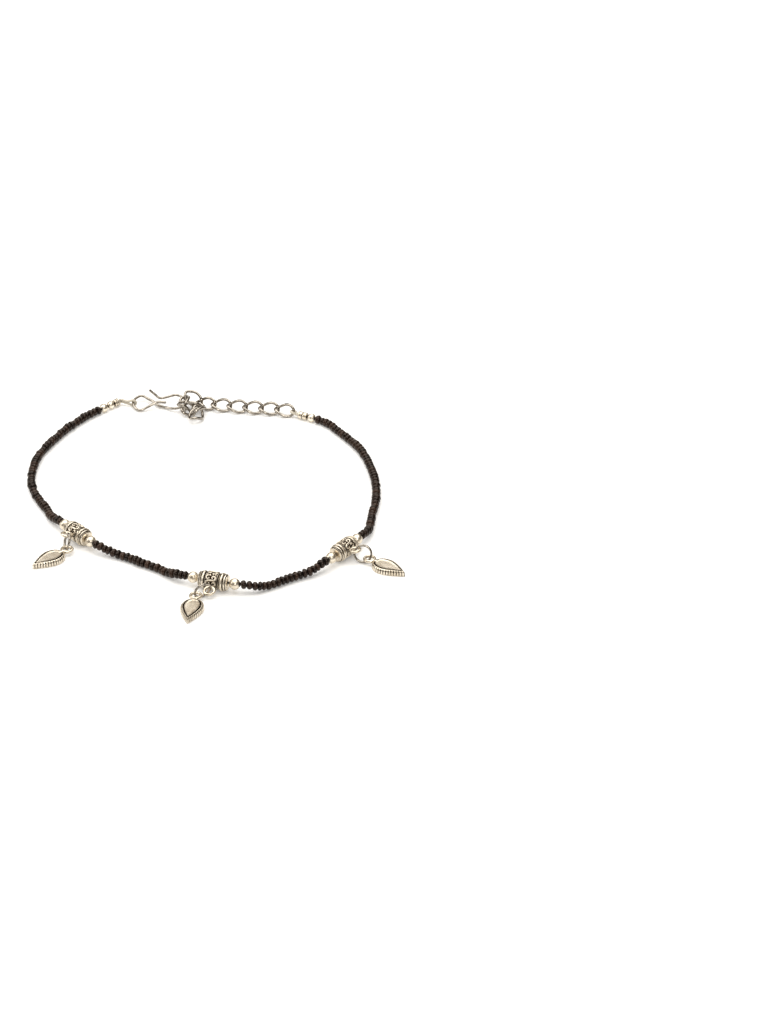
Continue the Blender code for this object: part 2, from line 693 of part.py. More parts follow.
def build_chain(frames):
    """The curb links; returns the direction across the wire that the right thread loop holds."""
    points = link_points()
    for name, frame in frames.items():
        place(wire(name, points, LINK_WIRE / 2, "steel_wire", cyclic=True), frame)
    last = frames[f"chain_link_{CHAIN_LINKS + 1}"].to_3x3()
    return last @ Vector((0, -sin(LINK_TWIST), cos(LINK_TWIST)))


def build_hook():
    points = [Vector(p) * MM for p in HOOK_ROUTE]
    wire("hook", smooth(points, HOOK_WIRE * 1.35), HOOK_WIRE / 2, "steel_wire")


def centre_on_table():
    """Moves the anklet so that its box stands with the middle of its underside at the origin."""
    bpy.context.view_layer.update()
    depsgraph = bpy.context.evaluated_depsgraph_get()
    corners = []
    for obj in PARTS.objects:
        if obj.type == "EMPTY":
            continue
        seen = obj.evaluated_get(depsgraph)
        mesh = seen.to_mesh()
        spots = np.empty(len(mesh.vertices) * 3)
        mesh.vertices.foreach_get("co", spots)
        seen.to_mesh_clear()
        world = np.array(obj.matrix_world)
        spots = spots.reshape(-1, 3) @ world[:3, :3].T + world[:3, 3]
        corners += [spots.min(axis=0), spots.max(axis=0)]
    low = np.min(corners, axis=0)
    high = np.max(corners, axis=0)
    ORIGIN.location = (-(low[0] + high[0]) / 2, -(low[1] + high[1]) / 2, -low[2])


clear_scene()
PARTS = make_collection(ANKLET)
CUTTERS = make_collection("cutters")
SHADES = make_materials()
ORIGIN = bpy.data.objects.new("anklet_origin", None)
PARTS.objects.link(ORIGIN)

build_barrel_sets()
link_frames, held_end = lay_chain()
left_start = Vector((LEFT_END[0] * MM, LEFT_END[1] * MM, END_HEIGHT))
right_reach = HELD_REACH + 2 * BEAD_GAP + END_BEAD_DIAMETER + RIGHT_CRIMP_LENGTH
right_start = held_end - direction(RIGHT_HEADING) * right_reach
right_start.z = END_HEIGHT
left_crimp, right_crimp = build_ends(left_start, right_start)
build_strings(left_start, right_start, left_crimp, right_crimp)
across_end = build_chain(link_frames)
build_hook()
eye_wire = Vector(HOOK_ROUTE[HOOK_HELD_POINT]) * MM
end_loop("thread_loop_left", left_crimp, LEFT_HEADING, eye_wire, HOOK_WIRE / 2, Vector((0, 0, 1)))
end_loop("thread_loop_right", right_crimp, RIGHT_HEADING, held_end, LINK_WIRE / 2, across_end)
centre_on_table()
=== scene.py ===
"""Payal anklet: the fine seed beads, cast silver, wire and finishes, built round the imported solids."""

import random
from math import asin, atan2, cos, pi, radians, sin, sqrt

import bmesh
import bpy
import numpy as np
from bpy.props import FloatProperty, FloatVectorProperty, IntProperty, PointerProperty
from mathutils import Euler, Matrix, Vector


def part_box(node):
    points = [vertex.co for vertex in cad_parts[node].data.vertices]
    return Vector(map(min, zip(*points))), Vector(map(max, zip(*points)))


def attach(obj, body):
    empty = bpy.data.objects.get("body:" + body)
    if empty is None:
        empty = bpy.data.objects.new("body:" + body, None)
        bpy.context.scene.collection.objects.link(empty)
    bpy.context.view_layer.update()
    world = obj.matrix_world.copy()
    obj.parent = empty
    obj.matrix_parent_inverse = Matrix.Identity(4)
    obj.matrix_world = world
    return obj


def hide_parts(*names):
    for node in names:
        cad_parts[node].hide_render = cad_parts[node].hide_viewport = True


bl_info = {
    "name": "Payal anklet",
    "version": (1, 0, 0),
    "blender": (4, 5, 0),
    "location": "View3D > Sidebar > Anklet",
    "description": "Builds a seed bead anklet with patterned silver barrels, leaf charms, hook and chain",
    "category": "Add Mesh",
}

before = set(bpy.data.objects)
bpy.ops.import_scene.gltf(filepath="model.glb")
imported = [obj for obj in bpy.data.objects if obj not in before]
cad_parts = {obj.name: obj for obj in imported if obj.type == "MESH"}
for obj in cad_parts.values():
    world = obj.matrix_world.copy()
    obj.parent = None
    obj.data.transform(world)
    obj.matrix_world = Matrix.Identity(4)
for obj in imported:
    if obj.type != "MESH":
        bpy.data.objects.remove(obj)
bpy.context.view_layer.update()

MM = 0.001
UP = Vector((0, 0, 1))

# Sizes that the solids have too, in metres
SEED_R = 0.00115
SETTLE_LENGTH = 0.008
STRING_STEP = 0.0046
BEAD_GAP = 0.0002
BARREL_R = 0.0024
BARREL_LENGTH = 0.0077
BARREL_BORE_R = 0.0003
SCROLL_FLOOR = 0.86
LOOP_R = 0.00127
LOOP_WIRE_R = 0.00033
HANG_REACH = BARREL_R + LOOP_R - LOOP_WIRE_R + 0.00025
SPACER_R = 0.00145
SPACER_BORE_R = 0.0005
END_BEAD_R = 0.0012
END_BORE_R = 0.0004
CRIMP_BEAD_R = 0.0011
CRIMP_BEAD_LENGTH = 0.0021
LEFT_CRIMP_LENGTH = 0.0017
RIGHT_CRIMP_LENGTH = 0.0026
CRIMP_R = 0.00105
LOOP_THREAD_R = 0.00036
LOOP_GRIP_GAP = 0.00004
LOOP_SHOULDER = 0.72
LOOP_NECK = 2.0
HELD_REACH = 0.0016
RING_R = 0.00215
RING_WIRE_R = 0.0003
CHARM_LENGTH = 0.0096
CHARM_WIDTH = 0.0058
CHARM_THICKNESS = 0.0015
EYE_R = 0.0013
EYE_WIRE_R = 0.00041
EYE_FOOT = 0.001475
EYE_HEIGHT = 0.0012
HOOK_WIRE_R = 0.000375
LINK_LENGTH = 0.0063
LINK_WIRE_R = 0.0004
LINK_LONG = 0.00275
LINK_WIDE = 0.00175
LINK_TWIST = radians(42)
LINK_PITCH = 0.0045
CHAIN_ROLL = radians(35)

# Finer sizes that only the scene has, in metres, in radians or as shares
THREAD_R = 0.00019
THREAD_STRIDE = 8
STRING_FINE_STEP = 0.0003
SEED_SIDES = 10
SEED_PROFILE = [
    (0.34, 0.84), (0.55, 0.98), (0.86, 0.66), (1.00, 0.0), (0.86, -0.66), (0.55, -0.98), (0.34, -0.84),
]
SEED_LENGTH_SPREAD = 0.16
SEED_SIZE_SPREAD = 0.045
SEED_SIZE_LIMITS = (0.88, 1.08)
SEED_OVAL = 0.97
SEED_FILL = 0.97
SEED_TILT = radians(10)
SEED_SIDEWAYS = 0.00010
SEED_TONE = (0.35, 0.3)
BORE_INSET = 0.0002
SCROLL_WIRE_R = 0.00027
CURL_WIRE_R = 0.00020
SCROLL_STEP = 0.00014
SCROLL_LIFT = 0.00005
GRANULE_R = 0.00020
GRANULE_LIFT = 0.00002
LOOP_SWELL = 0.35
CRIMP_BORE = 0.42
RING_SEAM = radians(100)
RING_HALF_CUT = 0.02
EYE_SWELL = 0.18
NECK_R = 0.00052
PLY_LAY = 0.0011
THREAD_STEP = 0.00012
HOOK_STEP = 0.00025

# Where the pieces lie, in millimetres on the drawing that the solids share
ROUTE = {
    "left_side": [(-35.2, 39.4), (-39.5, 32.5), (-43.4, 23.9), (-45.5, 17.1), (-46.0, 9.5), (-45.5, 3.2),
                  (-43.6, -3.1), (-40.2, -9.7)],
    "front_left": [(-20.1, -32.0), (-13.6, -36.0), (-7.3, -39.9)],
    "front_right": [(18.8, -46.8), (23.0, -44.7), (27.0, -41.9)],
    "right_side": [(45.0, -12.3), (45.9, -5.1), (45.8, 2.7), (44.9, 9.5), (43.1, 17.1), (40.4, 24.0),
                   (36.4, 30.2)],
    "chain": [(-5.6, 46.9), (5.0, 45.3), (10.0, 44.5), (15.0, 43.8), (19.4, 43.1), (23.0, 41.7),
              (27.4, 39.5), (31.9, 37.2)],
}
# Each barrel's middle, heading and turn, its ring's heading, lean and arc, its charm's heading, all in
# degrees, and whether it is threaded the other way round
BARREL_SETS = {
    "left": (-30.4, -24.0, -47.9, 16.0, -85.0, -20.0, 174.0, -136.5, False),
    "front": (5.7, -46.6, -16.8, -15.0, -151.5, -17.0, 118.5, -97.5, False),
    "right": (37.9, -31.5, 54.4, 13.0, -15.5, -20.5, 168.5, -36.5, True),
}
LEFT_END = (-31.2, 43.8)
LEFT_HEADING = radians(45)
RIGHT_HEADING = radians(153)
ENDS = {
    "left": (LEFT_HEADING, (2 * END_BEAD_R, CRIMP_BEAD_LENGTH, LEFT_CRIMP_LENGTH)),
    "right": (RIGHT_HEADING, (2 * END_BEAD_R, RIGHT_CRIMP_LENGTH)),
}
HOOK_ROUTE = [
    (-12.9, 46.6, 1.95), (-15.3, 46.9, 1.95), (-17.5, 46.0, 1.20), (-20.1, 44.8, 0.50), (-21.8, 46.2, 0.80),
    (-22.3, 48.0, 1.15), (-21.7, 50.2, 1.35), (-20.1, 51.5, 1.45), (-18.4, 50.4, 1.20), (-16.8, 49.2, 0.90),
    (-15.0, 47.3, 0.60), (-13.1, 46.3, 0.60), (-10.6, 44.9, 1.00), (-8.7, 45.1, 1.35), (-7.6, 47.2, 1.50),
    (-8.2, 49.8, 1.65), (-10.5, 51.4, 1.75), (-12.8, 50.4, 1.70), (-14.7, 49.7, 1.70), (-16.5, 51.8, 1.80),
    (-18.1, 54.1, 1.90),
]
HOOK_HELD_POINT = 5
HOOK_BEND_POINT = 14

# The bunched links: middle, as shares of a link's length from the hook's bend and up from the table, then
# heading, pitch and roll in degrees
BUNCH_LINKS = {
    "chain_link_1": (0.3698, 0.1016, 0.4063, -18.1, -33.5, 53.3),
    "hooked_link": (-0.0079, -0.1397, 0.3302, 95.2, 9.9, 128.0),
    "tail_link_1": (0.0714, -0.4825, 0.3524, -136.8, 27.9, -21.3),
    "tail_link_2": (0.3190, -0.6778, 0.3381, 16.8, 3.7, -97.1),
    "tail_link_3": (0.6143, -0.7714, 0.3429, 71.8, 0.1, -24.6),
    "tail_link_4": (0.5825, -1.1063, 0.2556, -117.6, 3.0, -27.2),
}
ROW_START = (0.9257, -0.1099)
ROW_LINKS = 6

# A barrel's outer side: share of its length, share of its radius, darkness of the groove there
BARREL_PROFILE = [
    (0.000, 0.13, 0.8), (0.000, 0.20, 0.1), (0.000, 0.62, 0.0), (0.004, 0.71, 0.0), (0.014, 0.77, 0.0),
    (0.032, 0.79, 0.0), (0.046, 0.76, 0.6), (0.056, 0.71, 1.0), (0.066, 0.77, 0.6), (0.078, 0.84, 0.0),
    (0.098, 0.87, 0.0), (0.114, 0.84, 0.6), (0.124, 0.77, 1.0), (0.136, 0.83, 0.6), (0.150, 0.91, 0.0),
    (0.180, 0.94, 0.0), (0.206, 0.93, 0.0), (0.222, 0.88, 0.6), (0.236, 0.78, 1.0), (0.250, 0.79, 1.0),
    (0.264, 0.86, 0.6), (0.278, 0.87, 0.6), (0.292, 0.86, 0.8), (0.36, 0.86, 1.0), (0.42, 0.86, 1.0),
    (0.48, 0.86, 1.0), (0.54, 0.86, 1.0), (0.60, 0.86, 1.0), (0.646, 0.86, 0.8), (0.660, 0.87, 0.6),
    (0.674, 0.86, 0.6), (0.688, 0.77, 1.0), (0.702, 0.77, 1.0), (0.716, 0.86, 0.6), (0.730, 0.90, 0.0),
    (0.744, 0.86, 0.6), (0.756, 0.79, 1.0), (0.768, 0.88, 0.6), (0.782, 0.96, 0.0), (0.800, 0.985, 0.0),
    (0.822, 0.985, 0.0), (0.840, 0.96, 0.0), (0.852, 0.87, 0.6), (0.862, 0.77, 1.0), (0.874, 0.77, 1.0),
    (0.886, 0.86, 0.6), (0.902, 0.91, 0.0), (0.924, 0.91, 0.0), (0.940, 0.86, 0.6), (0.952, 0.78, 0.9),
    (0.964, 0.80, 0.3), (0.980, 0.80, 0.0), (0.992, 0.74, 0.0), (1.000, 0.64, 0.0), (1.000, 0.20, 0.1),
    (1.000, 0.13, 0.8),
]
SCROLL_BAND = (0.28, 0.66)
SCROLL_COUNT = 4

# One S-scroll, as shares of its own width round the barrel and of the band's length
SCROLL_OUTLINE = [
    (0.35, 0.33), (0.28, 0.40), (0.20, 0.37), (0.16, 0.25), (0.22, 0.13), (0.36, 0.09), (0.47, 0.22),
    (0.49, 0.40), (0.51, 0.60), (0.54, 0.78), (0.65, 0.91), (0.78, 0.87), (0.84, 0.75), (0.80, 0.63),
    (0.72, 0.60), (0.66, 0.67),
]
SCROLL_CURL = [
    (0.10, 0.52), (0.08, 0.70), (0.14, 0.86), (0.27, 0.92), (0.38, 0.82), (0.36, 0.69), (0.26, 0.66),
]
GRANULE_ROWS = (0.14, 0.38, 0.62, 0.86)

# The ribbed crimp of the left end: share of length, share of radius, darkness
CRIMP_PROFILE = [
    (0.00, 0.84, 0.4), (0.03, 0.94, 0.0), (0.09, 1.00, 0.0), (0.22, 1.00, 0.0), (0.28, 0.95, 0.4),
    (0.34, 0.84, 1.0), (0.40, 0.95, 0.4), (0.45, 1.00, 0.0), (0.55, 1.00, 0.0), (0.60, 0.95, 0.4),
    (0.66, 0.84, 1.0), (0.72, 0.95, 0.4), (0.78, 1.00, 0.0), (0.91, 1.00, 0.0), (0.97, 0.94, 0.0),
    (1.00, 0.84, 0.4),
]

# The plain crimp of the right end, pinched once
PLAIN_CRIMP_PROFILE = [
    (0.00, 0.86, 0.4), (0.03, 0.95, 0.0), (0.09, 1.00, 0.0), (0.30, 1.00, 0.0), (0.38, 0.97, 0.0),
    (0.44, 0.91, 0.5), (0.50, 0.89, 0.8), (0.56, 0.91, 0.5), (0.62, 0.97, 0.0), (0.70, 1.00, 0.0),
    (0.91, 1.00, 0.0), (0.97, 0.95, 0.0), (1.00, 0.86, 0.4),
]

# A leaf charm's half outline from its top to its tip: share of its length, share of its half width
LEAF_OUTLINE = [
    (0.00, 0.00), (0.01, 0.30), (0.05, 0.58), (0.13, 0.82), (0.25, 0.97), (0.36, 1.00), (0.48, 0.93),
    (0.61, 0.76), (0.74, 0.54), (0.86, 0.31), (0.95, 0.12), (1.00, 0.00),
]
NOTCHES = 34
NOTCH_POINTS = 6
NOTCH_INWARDS = 0.05
NOTCH_DOWN = 0.08
LEAF_MIDDLE = 0.42
LEAF_BACK = 0.97
LEAF_LONG_SHARE = 0.55

# The charm's face from its back edge up and inwards: share of the outline's width, height share, shift to
# the tip, darkness, and how deeply the rim's notches cut there
LEAF_STEPS = [
    (1.000, 0.10, 0.000, 0.2, 0.5), (1.000, 0.60, 0.000, 0.0, 1.0), (0.985, 0.75, 0.000, 0.0, 1.0),
    (0.945, 0.86, -0.001, 0.0, 1.0), (0.900, 0.93, -0.003, 0.0, 0.7), (0.855, 0.975, -0.004, 0.0, 0.2),
    (0.815, 1.00, -0.005, 0.0, 0.0), (0.797, 0.99, -0.006, 0.5, 0.0), (0.783, 0.90, -0.007, 1.0, 0.0),
    (0.765, 0.70, -0.008, 1.0, 0.0), (0.675, 0.68, -0.010, 1.0, 0.0), (0.654, 0.84, -0.011, 1.0, 0.0),
    (0.643, 0.99, -0.011, 0.4, 0.0), (0.630, 1.05, -0.012, 0.0, 0.0), (0.605, 1.05, -0.013, 0.0, 0.0),
    (0.580, 1.00, -0.014, 0.05, 0.0), (0.555, 0.985, -0.015, 0.05, 0.0), (0.380, 0.985, -0.016, 0.0, 0.0),
    (0.190, 0.990, -0.016, 0.0, 0.0),
]


# The stage, in metres round the drawing
CAMERA_SPOT = (0.048, -0.592, 0.350)
CAMERA_TILT = radians(59)
FLOOR_COLOUR = (0.93, 0.93, 0.925)
FLOOR_GLOW = 0.16
WORLD_COLOUR = (0.30, 0.245, 0.19, 1.0)
WORLD_STRENGTH = 0.42
SOFTBOXES = (
    ("overhead_softbox", (-0.05, 0.15, 0.85), 1.25, 12.8, (1.0, 0.99, 0.965)),
    ("front_softbox", (0.25, -0.95, 0.75), 0.30, 3.2, (1.0, 0.985, 0.95)),
    ("left_softbox", (-0.90, 0.00, 0.50), 0.50, 2.6, (1.0, 0.99, 0.97)),
    ("back_softbox", (0.10, 1.00, 0.62), 0.90, 0.9, (1.0, 0.97, 0.92)),
)


# Shapes


def flat(points, height):
    """Route points in millimetres, as metres at one height."""
    return [Vector((x * MM, y * MM, height)) for x, y in points]


def direction(heading):
    """The level unit vector at a heading."""
    return Vector((cos(heading), sin(heading), 0))


def travelled(points):
    """How far each point lies along the line through all of them."""
    return np.concatenate([[0.0], np.cumsum([(b - a).length for a, b in zip(points, points[1:])])])


def at_marks(marks, along, rows):
    """The points at some distances along a line whose points are rows of coordinates."""
    return [Vector([float(np.interp(m, along, rows[:, axis])) for axis in range(3)]) for m in marks]


def between(t, low, high, first, last):
    """The mix of two points at the moments t between two knots."""
    return (high - t) / (high - low) * first + (t - low) / (high - low) * last


def smooth(points, step):
    """Points about one step apart on a centripetal Catmull-Rom curve through the given ones."""
    pts = np.array([tuple(p) for p in points])
    pts = np.vstack([2 * pts[0] - pts[1], pts, 2 * pts[-1] - pts[-2]])
    dense = []
    for p0, p1, p2, p3 in zip(pts, pts[1:], pts[2:], pts[3:]):
        steps = [max(np.linalg.norm(b - a), 1e-9) ** 0.5 for a, b in ((p0, p1), (p1, p2), (p2, p3))]
        k0, k1, k2, k3 = np.cumsum([0.0] + steps)
        t = np.linspace(k1, k2, 24, endpoint=False)[:, None]
        a1 = between(t, k0, k1, p0, p1)
        a2 = between(t, k1, k2, p1, p2)
        a3 = between(t, k2, k3, p2, p3)
        dense.append(between(t, k1, k2, between(t, k0, k2, a1, a2), between(t, k1, k3, a2, a3)))
    dense = np.vstack(dense + [pts[-2][None, :]])
    along = np.concatenate([[0.0], np.cumsum(np.linalg.norm(np.diff(dense, axis=0), axis=1))])
    count = max(2, round(along[-1] / step))
    return at_marks(np.linspace(0.0, along[-1], count + 1), along, dense)


def turns(count):
    """Even angles round a full turn."""
    return np.linspace(0, 2 * pi, count, endpoint=False)


def circle(radius, count, sin_axis, centre):
    """Points round a circle in the plane of X and another axis."""
    return [centre + (Vector((1, 0, 0)) * cos(a) + sin_axis * sin(a)) * radius for a in turns(count)]


def turn_profile(bm, layer, profile, sides):
    """Adds a closed profile of (radius, height, value in the layer) to a bmesh, turned about Z."""
    verts = []
    for radius, height, value in profile:
        vert = bm.verts.new((radius, 0, height))
        vert[layer] = value
        verts.append(vert)
    edges = [bm.edges.new(pair) for pair in zip(verts, verts[1:] + verts[:1])]
    bmesh.ops.spin(bm, geom=verts + edges, cent=(0, 0, 0), axis=(0, 0, 1), angle=2 * pi, steps=sides,
                   use_merge=True)


def spun(profile, sides):
    """A closed bmesh turned about Z from a profile of (radius, height, darkness)."""
    bm = bmesh.new()
    turn_profile(bm, bm.verts.layers.float.new("recess"), profile, sides)
    bmesh.ops.remove_doubles(bm, verts=bm.verts, dist=1e-7)
    bmesh.ops.recalc_face_normals(bm, faces=bm.faces)
    return bm


def link_object(name, data):
    """A new object in the scene for a mesh, a curve, a light or a camera."""
    obj = bpy.data.objects.new(name, data)
    bpy.context.scene.collection.objects.link(obj)
    return obj


def from_bmesh(name, bm, matrix=None):
    """An object made of a bmesh, which is moved to its place first."""
    if matrix is not None:
        bmesh.ops.transform(bm, matrix=matrix, verts=bm.verts)
    mesh = bpy.data.meshes.new(name)
    bm.to_mesh(mesh)
    bm.free()
    return link_object(name, mesh)


def wire(name, points, radius, sides=14, cyclic=False, radii=None):
    """A round wire along points, as a closed mesh; radii are shares of its radius at each point."""
    curve = bpy.data.curves.new(name, "CURVE")
    curve.dimensions = "3D"
    curve.bevel_depth = radius
    curve.bevel_resolution = (sides - 4) // 2
    curve.use_fill_caps = True
    spline = curve.splines.new("POLY")
    spline.points.add(len(points) - 1)
    spline.use_cyclic_u = cyclic
    for i, (point, spot) in enumerate(zip(spline.points, points)):
        point.co = (*spot, 1.0)
        point.radius = radii[i] if radii else 1.0
    drawn = link_object(name, curve)
    depsgraph = bpy.context.evaluated_depsgraph_get()
    made = bpy.data.meshes.new_from_object(drawn.evaluated_get(depsgraph))
    bpy.data.objects.remove(drawn, do_unlink=True)
    bpy.data.curves.remove(curve)
    bm = bmesh.new()
    bm.from_mesh(made)
    bpy.data.meshes.remove(made)
    bmesh.ops.remove_doubles(bm, verts=bm.verts, dist=1e-7)
    bmesh.ops.recalc_face_normals(bm, faces=bm.faces)
    bm.verts.layers.float.new("recess")
    return from_bmesh(name, bm)


def rounded_ends(points, radius):
    """Radius shares that round off both ends of a wire over one radius of its length."""
    along = travelled(points)
    shares = []
    for done in along:
        left = min(done, along[-1] - done) / radius
        shares.append(sqrt(max(0.0, 1 - (1 - min(1.0, left)) ** 2)) * 0.97 + 0.03)
    return shares


def domed(points, radius):
    """A wire's points with extra ones near its ends, so that its ends can be round, and the radius shares."""
    first = (points[0] - points[1]).normalized()
    last = (points[-1] - points[-2]).normalized()
    steps = [1.0, 0.92, 0.75, 0.5, 0.2]
    head = [points[0] + first * radius * (s - 1) for s in steps]
    tail = [points[-1] + last * radius * (s - 1) for s in reversed(steps)]
    body = [p for p in points if (p - points[0]).length > radius and (p - points[-1]).length > radius]
    route = head + body + tail
    return route, rounded_ends(route, radius)


def join(name, objects):
    """Joins mesh objects into one with the first one's name."""
    first = objects[0]
    if len(objects) > 1:
        with bpy.context.temp_override(active_object=first, object=first, selected_objects=objects,
                                       selected_editable_objects=objects):
            bpy.ops.object.join()
    first.name = name
    first.data.name = name
    return first


def finish(obj, material, slot, *nodes, sharp=50):
    """Gives a piece its material, smooth shading and body, and hides the solids of the nodes that it stands
    for; the slot is not used.
    """
    mesh = obj.data
    mesh.materials.clear()
    mesh.materials.append(named_material(material))
    mesh.shade_smooth()
    mesh.set_sharp_from_angle(angle=radians(sharp))
    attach(obj, "root")
    if nodes:
        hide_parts(*nodes)


# Places


def axes_frame(x, y, z, spot):
    """A frame from its three axes and its origin."""
    matrix = Matrix((x, y, z)).transposed().to_4x4()
    matrix.translation = spot
    return matrix


def along_string(spot, heading, roll=0.0, flip=False):
    """A frame at a spot: Z along the string or, flipped, against it, X outwards and turned up by roll."""
    axis = direction(heading)
    outward = Vector((axis.y, -axis.x, 0))
    hang = outward * cos(roll) + UP * sin(roll)
    if flip:
        axis = -axis
    return axes_frame(hang, axis.cross(hang), axis, spot)


def barrel_heading(name):
    """Where a barrel's second end points."""
    return radians(BARREL_SETS[name][2])


def barrel_frame(name):
    """The frame of a barrel on the drawing."""
    x, y, _, turn = BARREL_SETS[name][:4]
    spot = Vector((x * MM, y * MM, BARREL_R))
    return along_string(spot, barrel_heading(name), radians(turn), BARREL_SETS[name][-1])


def drawing_shift():
    """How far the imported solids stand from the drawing, read from a round bead's box."""
    low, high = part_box("spacer_front_first")
    matrix = barrel_frame("front")
    axis = direction(barrel_heading("front"))
    centre = matrix.translation - axis * (BARREL_LENGTH / 2 + BEAD_GAP + SPACER_R)
    return (Vector(low) + Vector(high)) / 2 - centre


SHIFT = Matrix.Translation(drawing_shift())


def ring_frame(hole, heading, lean, arc):
    """The jump ring's frame, and the spot where it passes the charm's eye."""
    chord = 2 * RING_R * sin(arc / 2)
    drop = (hole.z - EYE_HEIGHT) / chord
    flat_part = sqrt(1 - drop * drop)
    along = Vector((cos(heading) * flat_part, sin(heading) * flat_part, -drop))
    upright = (UP - along * along.z).normalized()
    across = along.cross(upright)
    rise = upright * cos(lean) + across * sin(lean)
    centre = hole + along * (chord / 2) + rise * (RING_R * cos(arc / 2))
    return axes_frame(along, rise, along.cross(rise), centre), hole + along * chord


def charm_place(name):
    """A jump ring's frame and its charm's frame."""
    ring_heading, lean, arc, charm_heading = (radians(v) for v in BARREL_SETS[name][4:8])
    hole = barrel_frame(name) @ Vector((HANG_REACH, 0, 0))
    ring, eye = ring_frame(hole, ring_heading, lean, arc)
    charm = Matrix.Translation((eye.x, eye.y, 0)) @ Matrix.Rotation(charm_heading, 4, "Z")
    return ring, charm


def ease(share):
    """A smooth step from 0 to 1."""
    share = min(1.0, max(0.0, share))
    return share * share * (3 - 2 * share)


def seed_stretch(start, end, route, start_heading, end_heading, step):
    """The middle line of one stretch of seed beads, down from its ends to the table."""
    lead = SEED_R * 2
    first = start + direction(start_heading) * lead
    last = end - direction(end_heading) * lead
    points = [start, first] + flat(route, 0) + [last, end]
    coarse = smooth([Vector((p.x, p.y, 0)) for p in points], STRING_STEP)
    line = smooth(coarse, step)
    along = travelled(line)
    for point, done in zip(line, along):
        rise_start = ease(1 - done / SETTLE_LENGTH) * (start.z - SEED_R)
        rise_end = ease(1 - (along[-1] - done) / SETTLE_LENGTH) * (end.z - SEED_R)
        point.z = SEED_R + rise_start + rise_end
    return line


def string_lines(step):
    """The four stretches of seed beads as fine lines, in order from the left end to the right end."""
    reach = BARREL_LENGTH / 2 + BEAD_GAP + 2 * SPACER_R + BEAD_GAP / 2
    stops = [(end_start("left"), LEFT_HEADING + pi)]
    for name in BARREL_SETS:
        heading = barrel_heading(name)
        middle = barrel_frame(name).translation
        half = direction(heading) * reach
        stops += [(middle - half, heading), (middle + half, heading)]
    stops.append((end_start("right"), RIGHT_HEADING))
    routes = [ROUTE[name] for name in ("left_side", "front_left", "front_right", "right_side")]
    return [seed_stretch(start, end, route, start_heading, end_heading, step)
            for route, (start, start_heading), (end, end_heading) in zip(routes, stops[::2], stops[1::2])]


def end_start(side):
    """Where the seed beads end and the pieces of the left or the right end begin."""
    heading, lengths = ENDS[side]
    if side == "left":
        return Vector((LEFT_END[0] * MM, LEFT_END[1] * MM, END_BEAD_R))
    held = chain_frames()[1]
    start = held - direction(heading) * (HELD_REACH + 2 * BEAD_GAP + sum(lengths))
    start.z = END_BEAD_R
    return start


def end_spots(side):
    """Middles of the pieces threaded outwards from a string's end, and where the last one stops."""
    heading, lengths = ENDS[side]
    start = end_start(side)
    spots = []
    done = 0.0
    for length in lengths:
        spots.append(start + direction(heading) * (done + BEAD_GAP + length / 2))
        done += BEAD_GAP + length
    return spots, start + direction(heading) * done


def link_points(count=44):
    """A twisted oval: its wire's middle line, long along X."""
    points = []
    for angle in turns(count):
        x = LINK_LONG * cos(angle)
        y = LINK_WIDE * sin(angle)
        twist = LINK_TWIST * x / LINK_LONG
        points.append(Vector((x, y * cos(twist), y * sin(twist))))
    return points


def link_frame(spot, heading, pitch, roll):
    """A link's frame from its middle and its three turns."""
    turn = Matrix.Rotation(heading, 4, "Z") @ Matrix.Rotation(-pitch, 4, "Y") @ Matrix.Rotation(roll, 4, "X")
    return Matrix.Translation(spot) @ turn


def chain_frames():
    """The frames of all links, the wire that the right thread loop holds and the direction across it."""
    roll = Matrix.Rotation(CHAIN_ROLL, 4, "X")
    height = LINK_WIRE_R - min((roll @ p).z for p in link_points(16))
    bend = Vector(HOOK_ROUTE[HOOK_BEND_POINT]) * MM
    start = Vector((bend.x + ROW_START[0] * LINK_LENGTH, bend.y + ROW_START[1] * LINK_LENGTH, height))
    route = flat(ROUTE["chain"], height)
    line = smooth(route[:1] + [start] + route[1:], 0.1 * MM)
    along = travelled(line)
    first = min(range(len(line)), key=lambda k: (line[k] - start).length)
    frames = {}

    def on_line(distance):
        return line[int(np.searchsorted(along, along[first] + distance))]

    for i in range(ROW_LINKS):
        middle = i * LINK_PITCH
        run = on_line(middle + LINK_LONG * 0.8) - on_line(middle - LINK_LONG * 0.8)
        frames[f"chain_link_{i + 2}"] = link_frame(on_line(middle), atan2(run.y, run.x), 0.0, CHAIN_ROLL)
    for name, (x, y, z, heading, pitch, turn) in BUNCH_LINKS.items():
        spot = Vector((bend.x, bend.y, 0)) + Vector((x, y, z)) * LINK_LENGTH
        frames[name] = link_frame(spot, radians(heading), radians(pitch), radians(turn))
    held = on_line((ROW_LINKS - 1) * LINK_PITCH + LINK_LONG)
    last = frames[f"chain_link_{ROW_LINKS + 1}"].to_3x3()
    return frames, held, last @ Vector((0, -sin(LINK_TWIST), cos(LINK_TWIST)))


# Materials


